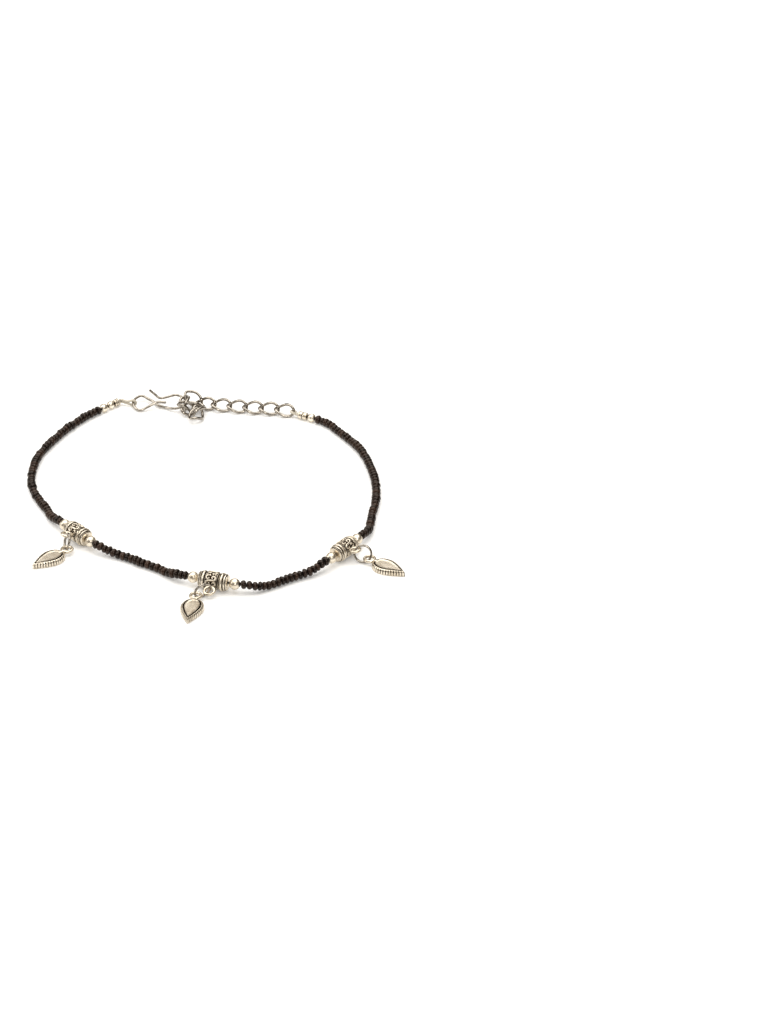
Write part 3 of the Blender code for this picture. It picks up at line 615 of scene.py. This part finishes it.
class Nodes:
    """A material's node tree, built by short calls."""

    def __init__(self, name):
        self.material = bpy.data.materials.new(name)
        self.material.use_nodes = True
        self.tree = self.material.node_tree
        self.shader = self.tree.nodes["Principled BSDF"]
        self.spot = self.add("ShaderNodeTexCoord").outputs["Object"]

    def put(self, value, socket):
        """Feeds a socket from another one, or with a number or a colour."""
        if isinstance(value, bpy.types.NodeSocket):
            self.tree.links.new(value, socket)
        else:
            socket.default_value = (*value, 1.0) if isinstance(value, (tuple, list)) else value

    def add(self, kind, sockets=None, **settings):
        """Adds a node with its settings and with what goes into its sockets."""
        node = self.tree.nodes.new(kind)
        for key, value in settings.items():
            setattr(node, key, value)
        for key, value in (sockets or {}).items():
            self.put(value, node.inputs[key])
        return node

    def noise(self, scale, detail=3.0, roughness=0.55, distortion=0.0):
        """Noise in the object's own space."""
        sockets = {"Scale": scale, "Detail": detail, "Roughness": roughness, "Distortion": distortion}
        return self.add("ShaderNodeTexNoise", {**sockets, "Vector": self.spot}).outputs["Fac"]

    def grey(self, source, low, high, start=0.0, end=1.0):
        """A value that goes from low to high while the source goes from start to end."""
        sockets = {"From Min": start, "From Max": end, "To Min": low, "To Max": high, "Value": source}
        return self.add("ShaderNodeMapRange", sockets).outputs["Result"]

    def mix(self, factor, first, second):
        """A mix of two colours."""
        return self.add("ShaderNodeMix", {0: factor, 6: first, 7: second}, data_type="RGBA").outputs[2]

    def plus(self, first, second):
        """A sum, kept between 0 and 1."""
        return self.add("ShaderNodeMath", {0: first, 1: second}, operation="ADD", use_clamp=True).outputs[0]

    def attribute(self, name):
        """A value that the mesh carries."""
        return self.add("ShaderNodeAttribute", attribute_name=name).outputs["Fac"]

    def bump(self, *heights):
        """Bumps one after another, each (source, strength, distance in metres)."""
        normal = None
        for source, strength, distance in heights:
            node = self.add("ShaderNodeBump", {"Strength": strength, "Distance": distance, "Height": source})
            if normal is not None:
                self.put(normal, node.inputs["Normal"])
            normal = node.outputs["Normal"]
        return normal

    def surface(self, sockets):
        """Feeds the shader's sockets and returns the material."""
        for key, value in sockets.items():
            self.put(value, self.shader.inputs[key])
        return self.material


def scaled(colour, share):
    """A lighter or darker colour."""
    return tuple(min(1.0, c * share) for c in colour)


def oxidised_silver(name, bright, shade, groove):
    """Cast silver that is worn bright on its high parts and brown-black in its grooves."""
    n = Nodes(name)
    cloud = n.noise(420.0, 4.0, 0.6)
    grain = n.noise(5200.0, 3.0, 0.6)
    worn = n.plus(n.attribute("recess"), n.grey(grain, -0.22, 0.22, 0.3, 0.7))
    depth = n.grey(worn, 0.0, 1.0, 0.28, 0.82)
    metal = n.mix(n.grey(cloud, 0.0, 1.0, 0.35, 0.68), bright, shade)
    stain = n.mix(n.grey(n.noise(1500.0, 2.0), 0.0, 0.35, 0.55, 0.75), metal, (0.40, 0.31, 0.21))
    return n.surface({
        "Metallic": 1.0,
        "Base Color": n.mix(depth, stain, groove),
        "Roughness": n.plus(n.grey(grain, 0.20, 0.42, 0.3, 0.7), n.grey(depth, 0.0, 0.22)),
        "Normal": n.bump((cloud, 0.12, 0.00006), (grain, 0.30, 0.000012)),
    })


def polished_silver(name, bright, shade, groove):
    """Plated round beads: bright, with faint dents, fine scratches and painted shade round the holes."""
    n = Nodes(name)
    cloud = n.noise(600.0, 2.0, 0.5)
    grain = n.noise(7000.0, 2.0, 0.6)
    metal = n.mix(n.grey(cloud, 0.0, 1.0, 0.35, 0.7), bright, shade)
    return n.surface({
        "Metallic": 1.0,
        # Painted shade: the recess values darken the bead round its holes towards the groove colour.
        "Base Color": n.mix(n.grey(n.attribute("recess"), 0.0, 1.0, 0.2, 0.9), metal, groove),
        "Roughness": n.grey(grain, 0.28, 0.42, 0.3, 0.7),
        "Normal": n.bump((cloud, 0.20, 0.00008), (grain, 0.2, 0.000006)),
    })


def drawn_wire(name, bright, shade, groove):
    """Drawn wire: fairly bright, with draw marks and a brown tarnish in patches."""
    n = Nodes(name)
    cloud = n.noise(700.0, 3.0, 0.6)
    marks = n.noise(3600.0, 3.0, 0.7, 1.5)
    metal = n.mix(n.grey(cloud, 0.0, 1.0, 0.32, 0.68), bright, shade)
    tarnish = n.plus(n.attribute("recess"), n.grey(marks, -0.1, 0.6, 0.46, 0.80))
    return n.surface({
        "Metallic": 1.0,
        "Base Color": n.mix(tarnish, metal, groove),
        "Roughness": n.grey(marks, 0.12, 0.22, 0.3, 0.7),
        "Normal": n.bump((cloud, 0.10, 0.00005), (marks, 0.12, 0.000008)),
    })


def seed_glass(name, dark, brown):
    """Opaque black glass: glossy, a little uneven, browner on some beads."""
    n = Nodes(name)
    cloud = n.noise(900.0, 2.0, 0.5)
    tone = n.plus(n.attribute("tone"), n.grey(cloud, -0.25, 0.25, 0.3, 0.7))
    return n.surface({
        "Specular IOR Level": 0.31,
        "Specular Tint": (1.0, 0.84, 0.73),
        "Base Color": n.mix(tone, dark, brown),
        "Roughness": n.grey(n.noise(2600.0, 2.0), 0.07, 0.20, 0.3, 0.7),
        "Normal": n.bump((cloud, 0.45, 0.00008), (n.noise(3400.0, 2.0), 0.15, 0.00001)),
    })


def thread_fibre(name, light, dark, metallic, sheen, roughness):
    """Twisted fibres: the plies are in the shape, their fine hairs in the bump."""
    n = Nodes(name)
    fibre = n.noise(9000.0, 3.0, 0.7, 0.8)
    return n.surface({
        "Metallic": metallic,
        "Sheen Weight": sheen,
        "Sheen Roughness": 0.4,
        "Base Color": n.mix(n.grey(fibre, 0.0, 1.0, 0.3, 0.7), light, dark),
        "Roughness": n.grey(fibre, roughness - 0.1, roughness + 0.15, 0.3, 0.7),
        "Normal": n.bump((fibre, 0.5, 0.00002)),
    })


def pale_paper(name):
    """The studio's pale floor, lit a little from below as a light table is."""
    n = Nodes(name)
    return n.surface({
        "Base Color": n.mix(n.grey(n.noise(60.0, 3.0), 0.0, 1.0, 0.3, 0.7), FLOOR_COLOUR,
                            scaled(FLOOR_COLOUR, 0.99)),
        "Roughness": n.grey(n.noise(200.0, 2.0), 0.75, 0.85),
        "Emission Color": (1.0, 0.995, 0.985),
        "Emission Strength": FLOOR_GLOW,
    })


def named_material(name):
    """A finish of this anklet, made once."""
    found = bpy.data.materials.get(name)
    if found:
        return found
    s = bpy.context.scene.payal_anklet
    bright, shade, groove, metal, loop = (
        tuple(colour) for colour in (s.silver, s.silver_shade, s.groove, s.wire, s.loop_thread))
    make, *values = {
        "barrel_and_charm_silver": (oxidised_silver, bright, shade, groove),
        "round_bead_silver": (polished_silver, scaled(bright, 1.06), shade, groove),
        "hook_and_link_wire": (drawn_wire, metal, scaled(metal, 0.62), groove),
        "black_seed_glass": (seed_glass, tuple(s.glass), tuple(s.glass_brown)),
        "silvery_loop_thread": (thread_fibre, loop, scaled(loop, 0.6), 0.4, 0.1, 0.40),
        "black_beading_thread": (thread_fibre, (0.035, 0.028, 0.024), (0.012, 0.010, 0.009), 0.0, 0.2, 0.5),
    }[name]
    return make(name, *values)


# Settings


def colour_setting(name, description, default):
    """A colour among the settings."""
    return FloatVectorProperty(name=name, description=description, default=default, subtype="COLOR", min=0.0,
                               max=1.0)


class AnkletSettings(bpy.types.PropertyGroup):
    """Sizes and colours of the anklet's fine pieces."""

    seed_bead_pitch: FloatProperty(name="Seed bead pitch", description="Length of a seed bead on its thread",
                                   default=0.00133, min=0.001, max=0.002, unit="LENGTH")
    seed_bead_size: FloatProperty(name="Seed bead size", description="Outside diameter of a seed bead",
                                  default=0.0024, min=0.0015, max=0.0025, unit="LENGTH")
    seed_bead_spread: FloatProperty(name="Seed bead spread", description="How unlike the seed beads are",
                                    default=1.0, min=0.0, max=2.0, subtype="FACTOR")
    seed: IntProperty(name="Seed", description="Start of the beads' random sizes", default=11, min=0)
    silver: colour_setting("Silver", "Cast silver where it is worn bright", (0.82, 0.75, 0.635))
    silver_shade: colour_setting("Silver shade", "Cast silver where it is duller", (0.62, 0.54, 0.42))
    # The groove colour also serves as the painted shade round the round beads' holes.
    groove: colour_setting("Groove", "Brown-black of the oxidised grooves", (0.030, 0.019, 0.011))
    wire: colour_setting("Wire", "Wire of the hook, the rings and the links", (0.48, 0.435, 0.375))
    glass: colour_setting("Glass", "Black glass of the seed beads", (0.006, 0.004, 0.0035))
    glass_brown: colour_setting("Brown glass", "The browner seed beads", (0.040, 0.022, 0.015))
    loop_thread: colour_setting("Loop thread", "Silvery thread of the end loops", (0.78, 0.72, 0.60))
    lens: FloatProperty(name="Lens", description="Focal length for the photograph's view", default=91.4,
                        min=20.0, max=200.0)


# Pieces


class ANKLET_OT_stage(bpy.types.Operator):
    """Makes the pale floor, the soft lights and the camera"""

    bl_idname = "anklet.stage"
    bl_label = "Stage"

    def execute(self, context):
        bm = bmesh.new()
        bmesh.ops.create_grid(bm, x_segments=2, y_segments=2, size=1.6)
        floor = from_bmesh("floor", bm, Matrix.Translation((0, 0.5, 0)))
        floor.data.materials.append(pale_paper("pale_floor"))

        shift = SHIFT.translation
        camera = link_object("camera", bpy.data.cameras.new("camera"))
        camera.data.lens = context.scene.payal_anklet.lens
        camera.data.sensor_width = 36.0
        camera.data.clip_start = 0.01
        camera.location = (CAMERA_SPOT[0] + shift.x, CAMERA_SPOT[1] + shift.y, CAMERA_SPOT[2])
        camera.rotation_euler = Euler((CAMERA_TILT, 0, 0))
        context.scene.camera = camera

        for name, spot, size, power, tint in SOFTBOXES:
            light = link_object(name, bpy.data.lights.new(name, "AREA"))
            light.data.shape = "SQUARE"
            light.data.size = size
            light.data.energy = power
            light.data.color = tint
            light.location = spot
            light.rotation_euler = (-Vector(spot)).to_track_quat("-Z", "Y").to_euler()
        world = bpy.data.worlds.new("studio")
        world.use_nodes = True
        world.node_tree.nodes["Background"].inputs["Color"].default_value = WORLD_COLOUR
        world.node_tree.nodes["Background"].inputs["Strength"].default_value = WORLD_STRENGTH
        context.scene.world = world
        context.scene.view_settings.view_transform = "Standard"
        return {"FINISHED"}


def turn_to(axis):
    """The turn that takes Z to an axis."""
    return UP.rotation_difference(axis).to_matrix().to_4x4()


def bead_run(bm, template, line, settings, rng, tone):
    """Threads seed beads along a line, with their own sizes and tilts, so that they fill it."""
    along = travelled(line)
    spots = np.array([tuple(p) for p in line])
    total = along[-1]
    count = round(total / settings.seed_bead_pitch)
    spread = settings.seed_bead_spread
    lengths = [1.0 + rng.uniform(-SEED_LENGTH_SPREAD, SEED_LENGTH_SPREAD) * spread for _ in range(count)]
    scale = total / sum(lengths)
    small, large = SEED_SIZE_LIMITS
    done = 0.0
    for share in lengths:
        length = share * scale
        middle = done + length / 2
        done += length
        back, spot, ahead = at_marks((middle - length / 2, middle, middle + length / 2), along, spots)
        size = min(large, max(small, 1.0 + rng.gauss(0.0, SEED_SIZE_SPREAD) * spread))
        axis = (ahead - back).normalized()
        tilt = Euler([rng.uniform(-1, 1) * SEED_TILT * spread for _ in range(2)]
                     + [rng.uniform(0, pi)]).to_matrix().to_4x4()
        spot.z += settings.seed_bead_size / 2 * size - SEED_R
        sideways = Vector((-axis.y, axis.x, 0)) * rng.uniform(-1, 1) * SEED_SIDEWAYS * spread
        oval = rng.uniform(SEED_OVAL, 1.0)
        shape = Matrix.Diagonal((size, size * oval, length * SEED_FILL / (2 * SEED_R), 1))
        matrix = SHIFT @ Matrix.Translation(spot + sideways) @ turn_to(axis) @ tilt @ shape
        copied = bmesh.ops.duplicate(bm, geom=template)["geom"]
        verts = [v for v in copied if isinstance(v, bmesh.types.BMVert)]
        bmesh.ops.transform(bm, matrix=matrix, verts=verts)
        shade = min(1.0, max(0.0, rng.gauss(*SEED_TONE)))
        for vert in verts:
            vert[tone] = shade


class ANKLET_OT_bead_strings(bpy.types.Operator):
    """Makes the seed beads of both strings and the thread that they run on"""

    bl_idname = "anklet.bead_strings"
    bl_label = "Bead strings"

    def execute(self, context):
        settings = context.scene.payal_anklet
        rng = random.Random(settings.seed)
        lines = string_lines(STRING_FINE_STEP)
        for side, stretches in (("left", lines[:2]), ("right", lines[2:])):
            bm = bmesh.new()
            tone = bm.verts.layers.float.new("tone")
            radius = settings.seed_bead_size / 2
            turn_profile(bm, tone, [(r * radius, z * SEED_R, 0.0) for r, z in SEED_PROFILE], SEED_SIDES)
            template = bm.verts[:] + bm.edges[:] + bm.faces[:]
            first = bm.verts[:]
            for line in stretches:
                bead_run(bm, template, line, settings, rng, tone)
            bmesh.ops.delete(bm, geom=first, context="VERTS")
            bmesh.ops.recalc_face_normals(bm, faces=bm.faces)
            beads = from_bmesh(f"seed_beads_{side}", bm)
            finish(beads, "black_seed_glass", "black_glass", f"bead_string_{side}", sharp=80)
        first_stop, last_stop = (end_spots(side)[1] - direction(heading) * lengths[-1]
                                 for side, (heading, lengths) in ENDS.items())
        points = [first_stop] + [p for line in lines for p in line[::THREAD_STRIDE]] + [last_stop]
        thread = wire("beading_thread", [SHIFT @ p for p in points], THREAD_R, sides=8)
        finish(thread, "black_beading_thread", "black_glass")
        return {"FINISHED"}


def barrel_shape():
    """A barrel about Z: turned ribs and grooves, S-scrolls, granules and the cast hanging loop."""
    half = BARREL_LENGTH / 2
    profile = [(BARREL_R * r, BARREL_LENGTH * s - half, dark) for s, r, dark in BARREL_PROFILE]
    bore_stops = (half - BORE_INSET, half * 0.3, -half * 0.3, -half + BORE_INSET)
    profile += [(BARREL_BORE_R, height, 1.0) for height in bore_stops]
    parts = [from_bmesh("barrel_body", spun(profile, 56))]
    low = SCROLL_BAND[0] * BARREL_LENGTH - half
    high = SCROLL_BAND[1] * BARREL_LENGTH - half
    floor = BARREL_R * SCROLL_FLOOR

    def on_band(across, up, radius, middle):
        angle = middle + (across - 0.5) * 2 * pi / SCROLL_COUNT
        return Vector((radius * cos(angle), radius * sin(angle), low + (high - low) * up))

    other_curl = [(1 - u, 1 - v) for u, v in SCROLL_CURL]
    for i in range(SCROLL_COUNT):
        middle = 2 * pi * (i + 0.5) / SCROLL_COUNT
        for outline, thick in ((SCROLL_OUTLINE, SCROLL_WIRE_R), (SCROLL_CURL, CURL_WIRE_R),
                               (other_curl, CURL_WIRE_R)):
            points = smooth([on_band(u, 1 - v, floor, middle) for u, v in outline], SCROLL_STEP)
            points = [Vector((p.x, p.y, 0)).normalized() * (floor + SCROLL_LIFT) + Vector((0, 0, p.z))
                      for p in points]
            shares = [0.72 + 0.28 * sin(pi * k / (len(points) - 1)) for k in range(len(points))]
            parts.append(wire("scroll", points, thick, sides=8, radii=shares))
        for up in GRANULE_ROWS:
            bm = bmesh.new()
            bmesh.ops.create_uvsphere(bm, u_segments=10, v_segments=6, radius=GRANULE_R)
            bm.verts.layers.float.new("recess")
            spot = on_band(0.0, 1 - up, floor + GRANULE_LIFT, middle)
            parts.append(from_bmesh("granule", bm, Matrix.Translation(spot)))
    loop = circle(LOOP_R, 36, UP, Vector((HANG_REACH, 0, 0)))
    shares = [1.0 + LOOP_SWELL * max(0.0, -cos(a)) ** 2 for a in turns(36)]
    parts.append(wire("cast_loop", loop, LOOP_WIRE_R * 1.08, sides=12, cyclic=True, radii=shares))
    return join("barrel", parts)


def cast_three(shape, place, label, node, sharp):
    """Casts a silver shape once for each barrel set, and drops the shape."""
    for name in BARREL_SETS:
        mesh = shape.data.copy()
        mesh.transform(SHIFT @ place(name))
        piece = link_object(f"{label}_{name}", mesh)
        finish(piece, "barrel_and_charm_silver", "antique_silver", f"{node}_{name}", sharp=sharp)
    bpy.data.objects.remove(shape, do_unlink=True)


class ANKLET_OT_barrels(bpy.types.Operator):
    """Makes the three patterned barrels with their hanging loops"""

    bl_idname = "anklet.barrels"
    bl_label = "Patterned barrels"

    def execute(self, context):
        cast_three(barrel_shape(), barrel_frame, "patterned_barrel", "barrel", 50)
        return {"FINISHED"}


def round_bead(node, radius, bore, spot, heading, length=None):
    """A polished bead with a hole, with painted shade round the hole's edge."""
    flatten = (length or 2 * radius) / (2 * radius)
    start = asin(bore / radius)
    rows = 20
    profile = []
    for i in range(rows + 1):
        angle = start + (pi - 2 * start) * i / rows
        # Painted shade at the hole's edge, strongest on the rows next to the hole.
        dark = 0.9 if i in (0, rows) else (0.35 if i in (1, rows - 1) else 0.0)
        profile.append((radius * sin(angle), radius * cos(angle) * flatten, dark))
    inner = profile[0][1]
    # Painted shade on the hole's wall.
    profile += [(bore * 0.94, -inner * 0.9, 1.0), (bore * 0.94, inner * 0.9, 1.0)]
    piece = from_bmesh(f"round_{node}", spun(profile, 36), SHIFT @ along_string(spot, heading))
    finish(piece, "round_bead_silver", "bright_silver", node)


class ANKLET_OT_round_beads(bpy.types.Operator):
    """Makes the round silver beads beside the barrels and at the strings' ends"""

    bl_idname = "anklet.round_beads"
    bl_label = "Round beads"

    def execute(self, context):
        offset = BARREL_LENGTH / 2 + BEAD_GAP + SPACER_R
        for name in BARREL_SETS:
            heading = barrel_heading(name)
            middle = barrel_frame(name).translation
            for label, side in (("first", -1), ("second", 1)):
                spot = middle + direction(heading) * offset * side
                round_bead(f"spacer_{name}_{label}", SPACER_R, SPACER_BORE_R, spot, heading)
        left, right = (end_spots(side)[0] for side in ENDS)
        round_bead("end_bead_left", END_BEAD_R, END_BORE_R, left[0], LEFT_HEADING)
        round_bead("crimp_bead_left", CRIMP_BEAD_R, END_BORE_R, left[1], LEFT_HEADING, CRIMP_BEAD_LENGTH)
        round_bead("end_bead_right", END_BEAD_R, END_BORE_R, right[0], RIGHT_HEADING)
        return {"FINISHED"}


class ANKLET_OT_crimps(bpy.types.Operator):
    """Makes the crimps that close the strings' ends, one ribbed and one plain"""

    bl_idname = "anklet.crimps"
    bl_label = "Crimps"

    def execute(self, context):
        for side, name, slot, outline in (
                ("left", "ribbed_crimp_left", "antique_silver", CRIMP_PROFILE),
                ("right", "crimp_tube_right", "bright_silver", PLAIN_CRIMP_PROFILE)):
            heading, lengths = ENDS[side]
            length = lengths[-1]
            profile = [(CRIMP_R * r, length * (s - 0.5), dark) for s, r, dark in outline]
            profile += [(CRIMP_R * CRIMP_BORE, length * s, dark)
                        for s, dark in ((0.5, 0.6), (0.3, 1.0), (-0.3, 1.0), (-0.5, 0.6))]
            matrix = SHIFT @ along_string(end_spots(side)[0][-1], heading)
            piece = from_bmesh(f"turned_{name}", spun(profile, 32), matrix)
            finish(piece, "barrel_and_charm_silver", slot, name)
        return {"FINISHED"}


class ANKLET_OT_jump_rings(bpy.types.Operator):
    """Makes the three jump rings with their cut seams"""

    bl_idname = "anklet.jump_rings"
    bl_label = "Jump rings"

    def execute(self, context):
        for name in BARREL_SETS:
            matrix = SHIFT @ charm_place(name)[0]
            angles = np.linspace(RING_SEAM + RING_HALF_CUT, RING_SEAM + 2 * pi - RING_HALF_CUT, 72)
            points = [Vector((RING_R * cos(a), RING_R * sin(a), 0)) for a in angles]
            piece = wire(f"wire_ring_{name}", [matrix @ p for p in points], RING_WIRE_R)
            finish(piece, "hook_and_link_wire", "steel_wire", f"jump_ring_{name}")
        return {"FINISHED"}


def leaf_outline(count):
    """A leaf's whole outline at even steps, from its top round to its tip and back."""
    upper = [Vector((s, w, 0)) for s, w in LEAF_OUTLINE]
    fine = smooth([Vector((p.x * CHARM_LENGTH, p.y * CHARM_WIDTH / 2, 0)) for p in upper], CHARM_LENGTH / 400)
    along = travelled(fine)
    xs = np.array([p.x for p in fine])
    ys = np.array([p.y for p in fine])
    marks = np.linspace(0, along[-1], count // 2 + 1)
    half = [(float(np.interp(m, along, xs)), float(np.interp(m, along, ys))) for m in marks]
    return half + [(x, -y) for x, y in reversed(half[1:-1])]


def charm_shape():
    """A leaf charm: eye over the origin, tip towards +X, back at 0, notched rim, groove and plain pad."""
    points = leaf_outline(NOTCHES * NOTCH_POINTS)
    bm = bmesh.new()
    recess = bm.verts.layers.float.new("recess")
    base = bm.faces.new([bm.verts.new((EYE_FOOT + x, y, 0)) for x, y in points])
    if base.normal.z > 0:
        base.normal_flip()
    middle = Vector((EYE_FOOT + CHARM_LENGTH * LEAF_MIDDLE, 0, 0))
    outline = [v.co.copy() for v in base.verts]
    cut = [1.0 if i % NOTCH_POINTS in (0, 1) else 0.0 for i in range(len(outline))]
    bmesh.ops.scale(bm, vec=(LEAF_BACK, LEAF_BACK, 1), space=Matrix.Translation(-middle), verts=base.verts)
    grown = bmesh.ops.extrude_face_region(bm, geom=[base], use_keep_orig=True)
    face = next(f for f in grown["geom"] if isinstance(f, bmesh.types.BMFace))
    for i, (share, height, shift, dark, notch) in enumerate(LEAF_STEPS):
        if i:
            face = bmesh.ops.extrude_discrete_faces(bm, faces=[face])["faces"][0]
        for vert, start, deep in zip(face.verts, outline, cut):
            inwards = share * (1 - NOTCH_INWARDS * notch * deep)
            lengthways = 1 - LEAF_LONG_SHARE * (1 - inwards)
            vert.co = middle + Vector(((start.x - middle.x) * lengthways, start.y * inwards, 0))
            vert.co.x += shift * CHARM_LENGTH
            vert.co.z = CHARM_THICKNESS * (height - NOTCH_DOWN * notch * deep)
            vert[recess] = max(dark, notch * deep)
    bmesh.ops.poke(bm, faces=[face])
    bmesh.ops.recalc_face_normals(bm, faces=bm.faces)
    body = from_bmesh("leaf", bm)
    eye = circle(EYE_R, 40, Vector((0, 1, 0)), Vector((0, 0, EYE_HEIGHT)))
    shares = [1.0 + EYE_SWELL * max(0.0, cos(a)) ** 2 for a in turns(40)]
    ring = wire("charm_eye", eye, EYE_WIRE_R, cyclic=True, radii=shares)
    foot = [Vector((EYE_R * 0.9, 0, EYE_HEIGHT * 0.86)),
            Vector((EYE_FOOT + 0.0006, 0, CHARM_THICKNESS * 0.72)),
            Vector((EYE_FOOT + 0.0012, 0, CHARM_THICKNESS * 0.62))]
    neck = wire("charm_neck", smooth(foot, 0.0002), NECK_R, sides=12)
    return join("leaf_charm", [body, ring, neck])


class ANKLET_OT_leaf_charms(bpy.types.Operator):
    """Makes the three leaf charms"""

    bl_idname = "anklet.leaf_charms"
    bl_label = "Leaf charms"

    def execute(self, context):
        cast_three(charm_shape(), lambda name: charm_place(name)[1], "cast_leaf", "leaf_charm", 40)
        return {"FINISHED"}


def loop_route(start, heading, held, held_radius, across):
    """The line of a thread loop whose two legs leave a crimp and close round a held wire."""
    leg = LOOP_THREAD_R * 0.85
    grip = held_radius + LOOP_THREAD_R + LOOP_GRIP_GAP
    leave = start + direction(heading) * LOOP_THREAD_R * 2
    onward = held - start
    onward.z = 0
    onward.normalize()
    legs = [start - direction(heading) * LOOP_THREAD_R * 2, start, leave]
    if (held - leave).length > grip * (LOOP_NECK + 1):
        legs.append(held - onward * (grip * LOOP_NECK))
    first = [p + across * leg for p in legs]
    second = [p - across * leg for p in legs]
    shoulder = onward * (grip * LOOP_SHOULDER)
    reach = across * (grip * LOOP_SHOULDER)
    points = first + [held + across * grip, held + shoulder + reach, held + onward * grip,
                      held + shoulder - reach, held - across * grip] + second[::-1]
    return smooth(points, THREAD_STEP)


def plied(name, points, radius, plies=3):
    """A thread of plies laid round each other along a line."""
    strands = []
    tangents = [(b - a).normalized() for a, b in zip(points, points[1:])]
    tangents.append(tangents[-1])
    side = tangents[0].orthogonal().normalized()
    sides = []
    for tangent in tangents:
        side = (side - tangent * side.dot(tangent)).normalized()
        sides.append(side.copy())
    for ply in range(plies):
        done = 0.0
        route = []
        for i, (point, tangent, side) in enumerate(zip(points, tangents, sides)):
            if i:
                done += (point - points[i - 1]).length
            angle = 2 * pi * (ply / plies + done / PLY_LAY)
            route.append(point + (side * cos(angle) + tangent.cross(side) * sin(angle)) * radius * 0.5)
        strands.append(wire(name, route, radius * 0.52, sides=8))
    return join(name, strands)


class ANKLET_OT_thread_loops(bpy.types.Operator):
    """Makes the plied thread loops that hold the hook and the chain"""

    bl_idname = "anklet.thread_loops"
    bl_label = "Thread loops"

    def execute(self, context):
        left, right = (end_spots(side)[1] for side in ENDS)
        eye = Vector(HOOK_ROUTE[HOOK_HELD_POINT]) * MM
        _, held, across = chain_frames()
        for name, route in (
                ("thread_loop_left", loop_route(left, LEFT_HEADING, eye, HOOK_WIRE_R, UP)),
                ("thread_loop_right", loop_route(right, RIGHT_HEADING, held, LINK_WIRE_R, across))):
            piece = plied(f"plied_{name}", [SHIFT @ p for p in route], LOOP_THREAD_R)
            finish(piece, "silvery_loop_thread", "loop_thread", name, sharp=80)
        return {"FINISHED"}


class ANKLET_OT_hook(bpy.types.Operator):
    """Makes the S-hook from one bent wire with rounded ends"""

    bl_idname = "anklet.hook"
    bl_label = "Hook"

    def execute(self, context):
        route = smooth([Vector(p) * MM for p in HOOK_ROUTE], HOOK_WIRE_R * 2.7)
        points, shares = domed(smooth(route, HOOK_STEP), HOOK_WIRE_R)
        piece = wire("bent_hook", [SHIFT @ p for p in points], HOOK_WIRE_R, sides=16, radii=shares)
        finish(piece, "hook_and_link_wire", "steel_wire", "hook")
        return {"FINISHED"}


class ANKLET_OT_chain(bpy.types.Operator):
    """Makes the extension chain's curb links and its bunched tail"""

    bl_idname = "anklet.chain"
    bl_label = "Extension chain"

    def execute(self, context):
        frames, _, _ = chain_frames()
        points = link_points()
        for name, matrix in frames.items():
            route = [SHIFT @ matrix @ p for p in points]
            piece = wire(f"curb_{name}", route, LINK_WIRE_R, cyclic=True)
            finish(piece, "hook_and_link_wire", "steel_wire", name)
        return {"FINISHED"}


PIECES = (ANKLET_OT_stage, ANKLET_OT_bead_strings, ANKLET_OT_barrels, ANKLET_OT_round_beads, ANKLET_OT_crimps,
          ANKLET_OT_jump_rings, ANKLET_OT_leaf_charms, ANKLET_OT_thread_loops, ANKLET_OT_hook,
          ANKLET_OT_chain)


class ANKLET_PT_panel(bpy.types.Panel):
    """Lists the anklet's settings and pieces"""

    bl_idname = "ANKLET_PT_panel"
    bl_label = "Payal anklet"
    bl_space_type = "VIEW_3D"
    bl_region_type = "UI"
    bl_category = "Anklet"

    def draw(self, context):
        settings = context.scene.payal_anklet
        for name in settings.__annotations__:
            self.layout.prop(settings, name)
        for piece in PIECES:
            self.layout.operator(piece.bl_idname)


CLASSES = (AnkletSettings, *PIECES, ANKLET_PT_panel)


def register():
    for cls in CLASSES:
        bpy.utils.register_class(cls)
    bpy.types.Scene.payal_anklet = PointerProperty(type=AnkletSettings)


def unregister():
    del bpy.types.Scene.payal_anklet
    for cls in reversed(CLASSES):
        bpy.utils.unregister_class(cls)


def main():
    register()
    bpy.ops.anklet.stage()
    bpy.ops.anklet.bead_strings()
    bpy.ops.anklet.barrels()
    bpy.ops.anklet.round_beads()
    bpy.ops.anklet.crimps()
    bpy.ops.anklet.jump_rings()
    bpy.ops.anklet.leaf_charms()
    bpy.ops.anklet.thread_loops()
    bpy.ops.anklet.hook()
    bpy.ops.anklet.chain()


if __name__ == "__main__":
    main()
